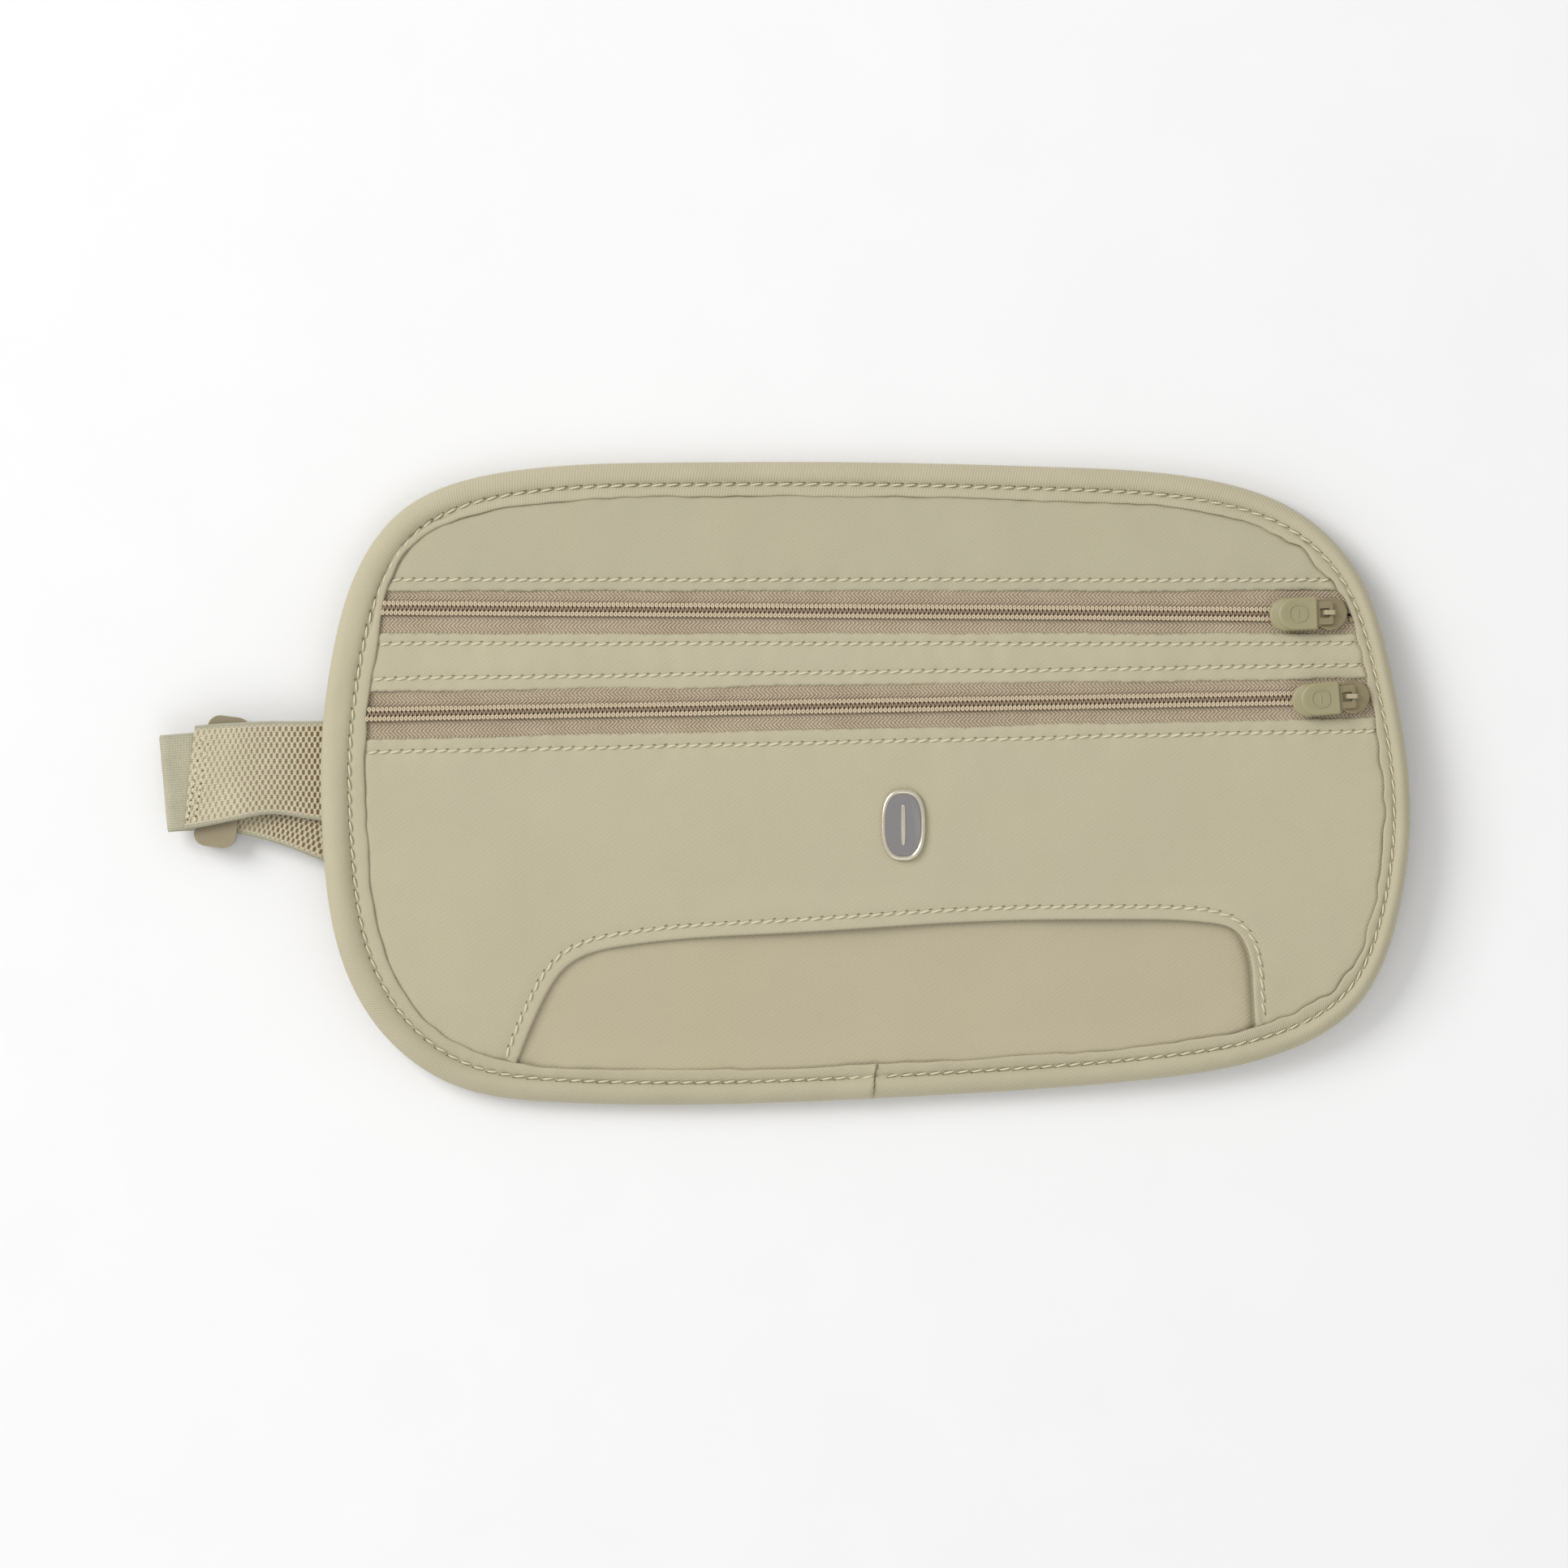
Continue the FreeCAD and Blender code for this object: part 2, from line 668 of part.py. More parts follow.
def make_tab():
    """The short strap from the left edge, lapped over the folded end of the long strap."""
    tab = Path(size("tab_start_x"), size("tab_y"), size("tab_height"), 180)
    tab.run(16).bend(40, 7).run(3).turn(140, 3.7).bend(40, -7).turn(140, 4.3).run(2)
    tab.strap("strap_left")


def make_right_strap():
    """The short strap from the right edge, looped round the female bar and sewn to itself."""
    strap = Path(size("right_start_x"), size("right_y"), size("tab_height"), 180)
    strap.run(11).turn(80, 16.5).bend(80, -5).run(17.1).bend(80, 5).turn(80, -16.5)
    bar_radius = (size("belt_height") - size("return_height")) / 2
    inner_radius = bar_radius - size("strap_thick") / 2
    bar_edge = size("buckle_x") + size("bar_start")
    strap.run(strap.point.x - (bar_edge - size("loop_gap") + inner_radius))
    strap.bend(bar_radius, -180).run(24)
    strap.strap("strap_right")


def glide_frame():
    base = Vector(size("pouch_x") + size("glide_x"), size("glide_y"), 0)
    return Placement(base, Rotation(Vector(0, 0, 1), size("glide_tilt")))


def make_end_loop():
    """The strap's end, sewn round the centre bar of the three-bar slide."""
    radius = size("end_loop_radius")
    bar_middle = (size("glide_low") + size("glide_centre_high")) / 2
    reach = size("glide_centre_half") + size("loop_gap") - (radius - size("strap_thick") / 2)
    loop = Path(size("end_loop_leg"), 0, bar_middle + radius, 180)
    loop.run(size("end_loop_leg") + reach).bend(radius, -180).run(size("end_loop_leg") + reach)
    loop.strap("strap_end_loop").Placement = glide_frame()


def make_glide():
    """Two rails with lips over the strap's edges, a low centre bar and two high outer bars, so that
    the strap passes straight."""
    body = new_body("tri_glide")
    block(body, "centre_bar", "glide_low", "glide_centre_high",
          ("-glide_centre_half", "glide_centre_half", "-glide_rail_inner", "glide_rail_inner"))
    block(body, "rails", "glide_low", "glide_high",
          ("-glide_half_width", "glide_half_width", "glide_rail_inner", "glide_half_length"),
          ("-glide_half_width", "glide_half_width", "-glide_half_length", "-glide_rail_inner"))
    block(body, "outer_bars", "glide_outer_low", "glide_high",
          ("-glide_half_width", "-glide_half_width + glide_bar_width", "-glide_rail_inner", "glide_rail_inner"),
          ("glide_half_width - glide_bar_width", "glide_half_width", "-glide_rail_inner", "glide_rail_inner"))
    block(body, "lips", "glide_outer_low", "glide_high",
          ("-glide_half_width", "glide_half_width", "glide_lip_inner", "glide_rail_inner"),
          ("-glide_half_width", "glide_half_width", "-glide_rail_inner", "-glide_lip_inner"))
    end = size("glide_half_length") - 0.01
    round_edges(body, "corners", "glide_corner - 0.15",
                lambda middle, upright: upright and abs(middle.y) > end)
    body.Placement = glide_frame()


# --- Side-release buckle -------------------------------------------------------------------------

def buckle_frame():
    return Placement(Vector(size("pouch_x") + size("buckle_x"), size("buckle_y"), 0), Rotation())


def strap_bar(body, inner, sign):
    """Two arms and the bar that a strap goes round, at one end of a buckle half."""
    near, far = (inner, "bar_end") if sign > 0 else ("-bar_end", inner)
    bar = ("bar_start", "bar_end") if sign > 0 else ("-bar_end", "-bar_start")
    block(body, "arms", "arm_low", "arm_high",
          (near, far, "arm_inner", "buckle_half_width"), (near, far, "-buckle_half_width", "-arm_inner"))
    block(body, "strap_bar", "bar_low", "bar_high", (*bar, "-arm_inner", "arm_inner"))


def make_female():
    body = new_body("buckle_female")
    block(body, "housing", "0", "buckle_high",
          ("female_mouth", "female_back", "-buckle_half_width", "buckle_half_width"))
    block(body, "cavity", "cavity_low", "cavity_high",
          ("female_mouth", "cavity_back", "-cavity_half", "cavity_half"), kind="Pocket")
    block(body, "windows", "cavity_low", "cavity_high",
          ("window_front", "window_back", "cavity_half", "buckle_half_width"),
          ("window_front", "window_back", "-buckle_half_width", "-cavity_half"), kind="Pocket")
    strap_bar(body, "female_back", 1)
    body.Placement = buckle_frame()


def make_male():
    body = new_body("buckle_male")
    block(body, "base", "0", "buckle_high",
          ("male_back", "male_front", "-buckle_half_width", "buckle_half_width"))
    socket = "(prong_root_radius + prong_socket_gap)"
    block(body, "prong_sockets", "cavity_low", "cavity_high",
          (f"prong_root_x - {socket}", "male_front", f"prong_root_y - {socket}", f"prong_root_y + {socket}"),
          (f"prong_root_x - {socket}", "male_front", f"-prong_root_y - {socket}", f"-prong_root_y + {socket}"),
          kind="Pocket")
    block(body, "tongue", "prong_low", "prong_high", ("male_front", "tongue_end", "-tongue_half", "tongue_half"))
    strap_bar(body, "male_back", -1)
    body.Placement = buckle_frame()


def make_prong(name, flip):
    """A springy arm from its root in the male base to the paddle in the housing's side window."""
    body = new_body(name)
    disc(body, "root", "prong_low", "prong_high", "prong_root_x", "prong_root_y", "prong_root_radius")
    block(body, "arm", "prong_low", "prong_high", ("prong_root_x", "paddle_front", "prong_inner", "prong_outer"))
    block(body, "paddle", "prong_low", "prong_high", ("paddle_front", "paddle_back", "prong_inner", "paddle_face"))
    turned = Placement(Vector(0, 0, size("prong_low") + size("prong_high")), Rotation(Vector(1, 0, 0), 180))
    body.Placement = buckle_frame().multiply(turned) if flip else buckle_frame()


# --- Assembly ------------------------------------------------------------------------------------

panel_prism = inset_prism("panel_prism", size("panel_inset"))
window_prism = inset_prism("window_prism", size("binding_width") + size("window_gap"), size("binding_shift"))

make_panels()
make_binding()
for zip_name in ("zip1", "zip2"):
    make_chain(zip_name)
    make_slider(zip_name)
    make_pull(zip_name)
    make_stops(zip_name)
make_badge()
make_belt()
make_tab()
make_right_strap()
make_end_loop()
make_glide()
make_female()
make_male()
make_prong("prong_upper", False)
make_prong("prong_lower", True)
doc.recompute()

for thing in doc.Objects:
    if {"Invalid", "Error"} & set(thing.State):
        raise RuntimeError(f"{thing.Label} failed: {thing.State}")
for node in nodes:
    if node.Shape.isNull() or not node.Shape.isValid():
        raise RuntimeError(f"{node.Label} has no valid shape")

os.makedirs("parts", exist_ok=True)
for node in nodes:
    node.Shape.exportStep(f"parts/{node.Label}.step")

whole = Part.makeCompound([node.Shape for node in nodes]).BoundBox
print(f"{len(nodes)} sub-parts, x {whole.XMin:.2f} {whole.XMax:.2f}, y {whole.YMin:.2f} {whole.YMax:.2f}, "
      f"z {whole.ZMin:.2f} {whole.ZMax:.2f}")
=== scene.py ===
import json
import math

import bmesh
import bpy
import numpy as np
from mathutils import Matrix, Vector, geometry, noise


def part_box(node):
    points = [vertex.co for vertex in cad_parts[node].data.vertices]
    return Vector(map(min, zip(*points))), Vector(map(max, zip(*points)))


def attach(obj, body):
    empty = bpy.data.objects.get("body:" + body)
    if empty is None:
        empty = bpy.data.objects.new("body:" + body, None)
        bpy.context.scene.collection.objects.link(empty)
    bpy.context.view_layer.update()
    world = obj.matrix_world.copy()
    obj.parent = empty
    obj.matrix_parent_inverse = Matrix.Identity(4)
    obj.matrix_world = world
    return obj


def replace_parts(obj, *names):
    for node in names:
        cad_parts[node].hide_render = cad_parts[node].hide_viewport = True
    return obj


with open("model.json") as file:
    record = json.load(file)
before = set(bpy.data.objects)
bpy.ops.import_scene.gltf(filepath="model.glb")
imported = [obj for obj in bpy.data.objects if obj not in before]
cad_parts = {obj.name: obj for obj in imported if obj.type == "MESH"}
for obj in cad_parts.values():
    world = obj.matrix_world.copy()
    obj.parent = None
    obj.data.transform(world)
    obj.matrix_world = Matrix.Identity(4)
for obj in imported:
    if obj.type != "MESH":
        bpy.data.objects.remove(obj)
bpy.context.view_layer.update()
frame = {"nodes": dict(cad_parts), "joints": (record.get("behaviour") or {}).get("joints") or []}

# All places and sizes below are in millimetres about the middle of the pouch, and "level" is the
# height above the back face of the arched pouch. metres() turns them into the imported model's frame.
MM = 0.001

# Points on the pouch's outer edge, clockwise from the top; a smooth closed curve joins them.
OUTLINE = [
    (-50, 83), (0, 83.05), (50, 81.8), (88, 78.6), (111.5, 70.2), (127, 54.2), (135.5, 28), (140, -2),
    (137.2, -33.5), (126.5, -57.5), (106, -69.8), (75, -76), (20, -80.2), (-35, -82.6), (-80, -82.1),
    (-107, -77.3), (-125.5, -63), (-135.3, -44), (-139.5, -18), (-139.9, 12), (-137.3, 33), (-131.4, 54),
    (-120.5, 69.7), (-88, 81.2),
]

# Points on the cut edge that uncovers the slip pocket, from its left foot over to its right foot.
ARCH_EDGE = [
    (-93, -82), (-82.6, -55.2), (-76.7, -46.9), (-62, -41.7), (-20, -38.4), (30, -35.4), (70, -34.9),
    (88.8, -35.8), (95.0, -37.7), (98.4, -42.8), (99.8, -52), (100.5, -64), (100.8, -86),
]

# The back panel's thickness, and the radius of the arch that the pouch lies on.
PANEL_THICK = 1.6
ARCH_RADIUS = 421.0

# Levels of the front cloth and the zip tapes, and the pull's hinge bar above its tape.
FRONT_LEVEL = 4.5
TAPE_LEVEL = 3.9
HINGE_HEIGHT = 3.4

# The binding's width, which this shift makes larger at the left and smaller at the right.
BINDING_WIDTH = 8.9
BINDING_SHIFT = 2.5

# Where the binding's stitches run across it, and the pitches of stitches, weave slots and teeth.
STITCH_SHARE = 0.66
STITCH_PITCH = 3.6
SEAM_PITCH = 2.95
SLOT_LENGTH = 1.4
SLOT_PITCH = 1.5
COIL_PITCH = 1.11
STRAP_WIDTH = 25.0
STRAP_THICK = 1.0

# Slanted lines across the pouch: the height at x = 0, and the slope in degrees.
ZIPS = {"zip1": (44.45, -0.4), "zip2": (20.15, 1.0)}
TOP_EDGE = (49.6, 0.0)
MIDDLE_UPPER_EDGE = (38.9, 0.0)
MIDDLE_LOWER_EDGE = (25.2, 0.75)
LOWER_EDGE = (14.4, 1.24)

# The two sides of a zip.
UPPER, LOWER = ("upper", 1), ("lower", -1)


# --- Curves ---

def ramp(value, start, end):
    """0 before start, 1 after end, and straight between them."""
    return min(1.0, max(0.0, (value - start) / (end - start)))


def spline(points, closed, count):
    """Points evenly spaced along a smooth cubic curve through the given ones."""
    points = np.array(points, float)
    if closed:
        wrap = 4
        points = np.vstack([points[-wrap:], points, points[:wrap + 1]])
    gaps = np.hypot(*np.diff(points, axis=0).T)
    knots = np.concatenate([[0], np.cumsum(gaps)])
    second = second_derivatives(knots, points)
    first, last = (knots[wrap], knots[-wrap - 1]) if closed else (knots[0], knots[-1])
    fine = np.linspace(first, last, 4000)
    curve = evaluate(knots, points, second, fine)
    lengths = np.concatenate([[0], np.cumsum(np.hypot(*np.diff(curve, axis=0).T))])
    places = np.linspace(0, lengths[-1], count, endpoint=not closed)
    return np.column_stack([np.interp(places, lengths, curve[:, axis]) for axis in (0, 1)])


def second_derivatives(knots, points):
    """The natural cubic spline's second derivatives at its knots."""
    size = len(knots)
    matrix = np.eye(size)
    right = np.zeros_like(points)
    for i in range(1, size - 1):
        before, after = knots[i] - knots[i - 1], knots[i + 1] - knots[i]
        matrix[i, i - 1:i + 2] = [before, 2 * (before + after), after]
        right[i] = 6 * ((points[i + 1] - points[i]) / after - (points[i] - points[i - 1]) / before)
    return np.linalg.solve(matrix, right)


def evaluate(knots, points, second, places):
    """The spline's points at the given places along its knots."""
    span = np.clip(np.searchsorted(knots, places, side="right") - 1, 0, len(knots) - 2)
    width = (knots[span + 1] - knots[span])[:, None]
    b = (places - knots[span])[:, None] / width
    a = 1 - b
    bend = ((a ** 3 - a) * second[span] + (b ** 3 - b) * second[span + 1]) * width ** 2 / 6
    return a * points[span] + b * points[span + 1] + bend


def normals_of(points, closed):
    """Unit normals on the left of a polyline."""
    if closed:
        along = np.roll(points, -1, axis=0) - np.roll(points, 1, axis=0)
    else:
        along = np.gradient(points, axis=0)
    along /= np.hypot(*along.T)[:, None]
    return np.column_stack([-along[:, 1], along[:, 0]])


EDGE = spline(OUTLINE, True, 960)
JOIN_X = 1.6
EDGE = np.roll(EDGE, -int(np.argmin(np.hypot(EDGE[:, 0] - JOIN_X, EDGE[:, 1] + 81))), axis=0)
EDGE_OUT = normals_of(EDGE, True)
PERIMETER = float(np.hypot(*(np.roll(EDGE, -1, axis=0) - EDGE).T).sum())
POUCH_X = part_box("edge_binding")[0][0] / MM - EDGE[:, 0].min()
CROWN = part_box("back_panel")[1][2] / MM - PANEL_THICK


def arch_height(y, level):
    """How high a level lies above the floor at y, in millimetres."""
    return CROWN - ARCH_RADIUS + math.sqrt((ARCH_RADIUS + level) ** 2 - y * y)


def metres(x, y, level):
    """A point on the arch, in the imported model's frame."""
    return Vector(((x + POUCH_X) * MM, y * MM, arch_height(y, level) * MM))


def binding_point(i, share):
    """A point across the binding at outline station i: share 0 is the outer edge, 1 the inner one."""
    across = -EDGE_OUT[i] * BINDING_WIDTH + np.array([BINDING_SHIFT, 0])
    return EDGE[i] + across * share


def wobble(x, y, wave, seed):
    """Smooth noise from -1 to 1 with features about "wave" millimetres across."""
    return noise.noise(Vector((x / wave, y / wave, seed)))


def noise_round(i, turns, seed):
    """Noise along the closed outline that meets itself, with about "turns" features."""
    angle = 2 * math.pi * i / len(EDGE)
    radius = turns / (2 * math.pi)
    return noise.noise(Vector((radius * math.cos(angle), radius * math.sin(angle), seed)))


def inner_waver(i):
    """How far the binding's inner edge wanders, as a share of its width."""
    x, y = EDGE[int(i) % len(EDGE)]
    right = ramp(x, 85, 120)
    corner = 0.24 * math.exp(-((x + 127) ** 2 + (y - 62) ** 2) / 21 ** 2)
    wander = 0.045 * noise_round(i, 46, 9.4) + 0.035 * noise_round(i, 150, 3.8)
    scallops = 0.15 * noise_round(i, 88, 6.2) + 0.08 * noise_round(i, 190, 2.7)
    return wander + right * scallops - corner


INNER = np.array([binding_point(i, 1 + inner_waver(i)) for i in range(len(EDGE))])


def rim_gap(x, y):
    """How far inside the binding's inner edge a point lies; under the binding it is negative."""
    i = int(np.argmin((INNER[:, 0] - x) ** 2 + (INNER[:, 1] - y) ** 2))
    return float((INNER[i] - (x, y)) @ EDGE_OUT[i])


# --- Mesh tools ---

def add_object(name, vertices, faces, material, body="pouch"):
    """A mesh object with its material and its slot in the record, riding on a body."""
    mesh = bpy.data.meshes.new(name)
    mesh.from_pydata([tuple(v) for v in vertices], [], faces)
    mesh.validate()
    made = bmesh.new()
    made.from_mesh(mesh)
    bmesh.ops.recalc_face_normals(made, faces=made.faces)
    made.to_mesh(mesh)
    made.free()
    mesh.polygons.foreach_set("use_smooth", [True] * len(mesh.polygons))
    mesh.materials.append(material)
    piece = bpy.data.objects.new(name, mesh)
    bpy.context.scene.collection.objects.link(piece)
    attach(piece, body)
    return piece


def face_up(piece, index=0):
    """Turns an open sheet over if the given face looks down, so that its thickness lies below it."""
    if piece.data.polygons[index].normal.z < 0:
        piece.data.flip_normals()


def add_attribute(piece, name, values):
    """A vector for each vertex, which materials read by name."""
    attribute = piece.data.attributes.new(name, "FLOAT_VECTOR", "POINT")
    attribute.data.foreach_set("vector", np.array(values, np.float32).ravel())


def thicken(piece, thickness):
    """Gives an open sheet its thickness, below the face that it shows."""
    solid = piece.modifiers.new("thickness", "SOLIDIFY")
    solid.thickness = thickness * MM
    solid.offset = -1


def bevel(piece, width, segments=3, angle=30):
    """Rounds the edges that turn by more than an angle."""
    edge = piece.modifiers.new("edges", "BEVEL")
    edge.width = width * MM
    edge.segments = segments
    edge.limit_method = "ANGLE"
    edge.angle_limit = math.radians(angle)


def grid_faces(rows, columns, wrap_rows=False, wrap_columns=False):
    """The quads between rows of vertices, closed round either way if asked."""
    faces = []
    for i in range(rows if wrap_rows else rows - 1):
        for j in range(columns if wrap_columns else columns - 1):
            a, b = i * columns + j, i * columns + (j + 1) % columns
            c, d = ((i + 1) % rows) * columns + (j + 1) % columns, ((i + 1) % rows) * columns + j
            faces.append((a, b, c, d))
    return faces


class Tubes:
    """Many small tubes gathered in one mesh."""

    SIDES = 6
    RING_STEPS = 12

    def __init__(self):
        self.vertices = []
        self.faces = []

    def add(self, path, radii, up):
        """A tube through a path of points, in metres, closed at both ends."""
        first = len(self.vertices)
        path = [Vector(p) for p in path]
        for i, point in enumerate(path):
            along = (path[min(i + 1, len(path) - 1)] - path[max(i - 1, 0)]).normalized()
            side = along.cross(up).normalized()
            top = side.cross(along)
            for k in range(self.SIDES):
                angle = 2 * math.pi * k / self.SIDES
                self.vertices.append(point + (side * math.cos(angle) + top * math.sin(angle)) * radii[i])
        for a, b, c, d in grid_faces(len(path), self.SIDES, wrap_columns=True):
            self.faces.append((first + a, first + b, first + c, first + d))
        last = first + (len(path) - 1) * self.SIDES
        self.faces.append(tuple(range(first, first + self.SIDES)))
        self.faces.append(tuple(range(last, last + self.SIDES)))

    def ring(self, centre, along, across, radius):
        """A closed oval ring of thread round "centre", with half sizes "along" and "across"."""
        first = len(self.vertices)
        up = along.cross(across).normalized()
        for i in range(self.RING_STEPS):
            angle = 2 * math.pi * i / self.RING_STEPS
            out = along * math.cos(angle) + across * math.sin(angle)
            for k in range(self.SIDES):
                turn = 2 * math.pi * k / self.SIDES
                spot = centre + out + (out.normalized() * math.cos(turn) + up * math.sin(turn)) * radius
                self.vertices.append(spot)
        for face in grid_faces(self.RING_STEPS, self.SIDES, True, True):
            self.faces.append(tuple(first + corner for corner in face))

    def piece(self, name, material, slot):
        return add_object(name, self.vertices, self.faces, material)


def extruded(name, outline, low, high, place, material, slot, body, edge=0.15, angle=30):
    """A plate of a given outline between two heights, in the frame "place", with rounded edges."""
    count = len(outline)
    vertices = [place @ Vector((x * MM, y * MM, z * MM)) for z in (low, high) for x, y in outline]
    faces = [tuple(range(count)), tuple(range(count, 2 * count))]
    faces += [(i, (i + 1) % count, count + (i + 1) % count, count + i) for i in range(count)]
    piece = add_object(name, vertices, faces, material, body)
    bevel(piece, edge, 3, angle)
    shade_flat_faces(piece)
    return piece


def lofted(name, outlines, place, material, body="pouch"):
    """A closed solid through outlines of (x, y) points, each with its height, in the frame "place"."""
    vertices = [place @ Vector((x * MM, y * MM, height * MM))
                for outline, height in outlines for x, y in outline]
    count = len(outlines[0][0])
    faces = grid_faces(len(outlines), count, wrap_columns=True)
    faces += [tuple(range(count)), tuple(range(len(vertices) - count, len(vertices)))]
    return add_object(name, vertices, faces, material, body)


def shade_flat_faces(piece):
    """Smooth shading that keeps flat faces flat."""
    modifier = piece.modifiers.new("normals", "WEIGHTED_NORMAL")
    modifier.keep_sharp = True


def rectangle(x_low, x_high, y_low, y_high):
    return [(x_low, y_low), (x_high, y_low), (x_high, y_high), (x_low, y_high)]


# --- Materials ---

class Shader:
    """A material with short calls for its nodes."""

    def __init__(self, name, roughness, **settings):
        self.material = bpy.data.materials.new(name)
        self.material.use_nodes = True
        self.tree = self.material.node_tree
        self.surface = self.tree.nodes["Principled BSDF"]
        self.surface.inputs["Roughness"].default_value = roughness
        for socket, value in settings.items():
            self.surface.inputs[socket.replace("_", " ")].default_value = value

    def node(self, kind, inputs=(), **settings):
        node = self.tree.nodes.new("ShaderNode" + kind)
        for key, value in settings.items():
            setattr(node, key, value)
        for key, value in dict(inputs).items():
            if isinstance(value, bpy.types.NodeSocket):
                self.tree.links.new(value, node.inputs[key])
            else:
                node.inputs[key].default_value = value
        return node

    def math(self, operation, a, b=0.0, c=0.0):
        return self.node("Math", {0: a, 1: b, 2: c}, operation=operation).outputs[0]

    def total(self, start, *terms):
        """A start value plus every term's value times its weight."""
        for value, weight in terms:
            start = self.math("MULTIPLY_ADD", value, weight, start)
        return start

    def position(self):
        return self.node("TexCoord").outputs["Object"]

    def parts(self, vector):
        return self.node("SeparateXYZ", {0: vector}).outputs

    def attribute(self, name):
        """The parts of a vector that the mesh carries for each vertex."""
        return self.parts(self.node("Attribute", attribute_name=name).outputs["Vector"])

    def noise(self, scale, detail=3.0, roughness=0.55):
        inputs = {"Vector": self.position(), "Scale": scale, "Detail": detail, "Roughness": roughness}
        return self.node("TexNoise", inputs).outputs[0]

    def wave(self, coordinate, period, phase=0.0):
        """A sine from 0 to 1 along a coordinate."""
        turned = self.total(phase, (coordinate, 2 * math.pi / period))
        return self.total(0.5, (self.math("SINE", turned), 0.5))

    def mix(self, share, first, second):
        return self.node("Mix", {0: share, 6: first, 7: second}, data_type="RGBA").outputs[2]

    def finish(self, color, height=None, distance=0.0):
        """Joins the colour and a bump whose depth is "distance" millimetres."""
        self.tree.links.new(color, self.surface.inputs["Base Color"])
        if height is not None:
            bump = self.node("Bump", {"Strength": 1.0, "Distance": distance * MM, "Height": height})
            self.tree.links.new(bump.outputs[0], self.surface.inputs["Normal"])
        return self.material

    def finish_worn(self, base, worn, clouds, edge_from, edge_most, grain, roughness, depth):
        """Cloudy colour, a worn tint on the edges, and a grain that also varies the gloss."""
        pointed = self.node("NewGeometry").outputs["Pointiness"]
        span = {0: pointed, 1: edge_from, 2: edge_from + 0.08, 3: 0.0, 4: edge_most}
        amount = self.total(self.node("MapRange", span).outputs[0], clouds)
        self.tree.links.new(roughness, self.surface.inputs["Roughness"])
        return self.finish(self.mix(amount, base, worn), grain, depth)


def colour(red, green, blue):
    """A linear colour from the 0 to 255 values seen on a screen."""
    return tuple((c / 255) ** 2.2 for c in (red, green, blue)) + (1.0,)


def cloth(name, base, shade, twill=0.62, depth=0.05):
    """A fine diagonal twill with slight uneven dyeing and a soft sheen."""
    made = Shader(name, 0.82, Sheen_Weight=0.12, Sheen_Roughness=0.5, Specular_IOR_Level=0.25)
    x, y, _ = made.parts(made.position())
    lines = made.wave(made.total(0.0, (y, 0.6), (x, 0.8)), twill * MM)
    floats = made.wave(made.total(0.0, (y, 0.8), (x, -0.6)), twill * 1.7 * MM)
    weave = made.total(lines, (floats, 0.35))
    fibres = made.noise(2600.0, 2.0)
    amount = made.total(-0.2, (made.noise(42.0, 4.0), 0.7), (fibres, 0.5), (weave, 0.16))
    patch = made.total(-0.8, (made.noise(33.0, 5.0, 0.6), 2.4))
    cooler = made.mix(0.5, base, shade[:2] + (shade[2] * 1.14, 1.0))
    light = made.mix(patch, base, cooler)
    return made.finish(made.mix(amount, shade, light), made.total(weave, (fibres, 0.6)), depth)


def ribbed_tape(name, base, shade):
    """Binding tape: fine ribs square to the edge, on the twill's slant."""
    made = Shader(name, 0.8, Sheen_Weight=0.15, Sheen_Roughness=0.45, Specular_IOR_Level=0.28)
    along, across, _ = made.attribute("tape_place")
    ribs = made.wave(made.total(along, (across, 0.45)), 0.75)
    fibres = made.noise(2400.0, 2.0)
    amount = made.total(-0.15, (made.noise(60.0), 0.7), (ribs, 0.2), (fibres, 0.3))
    return made.finish(made.mix(amount, shade, base), made.total(ribs, (fibres, 0.5)), 0.06)


def zip_tape_material():
    """Herringbone tape: slanted yarns whose slant changes side every column."""
    made = Shader("zip_tape_weave", 0.85, Sheen_Weight=0.1, Specular_IOR_Level=0.2)
    along, across, _ = made.attribute("tape_place")
    column = made.math("PINGPONG", across, 1.5)
    yarns = made.wave(made.total(along, (column, 1.1)), 1.05)
    knots = made.math("MULTIPLY", yarns, made.total(0.5, (made.wave(across, 0.75), 0.5)))
    fibres = made.noise(1800.0, 2.0)
    amount = made.total(-0.3, (knots, 0.75), (fibres, 0.35), (made.noise(90.0, 2.0), 0.3))
    tint = made.mix(amount, colour(149, 131, 107), colour(234, 220, 194))
    return made.finish(tint, made.total(knots, (fibres, 0.3)), 0.25)


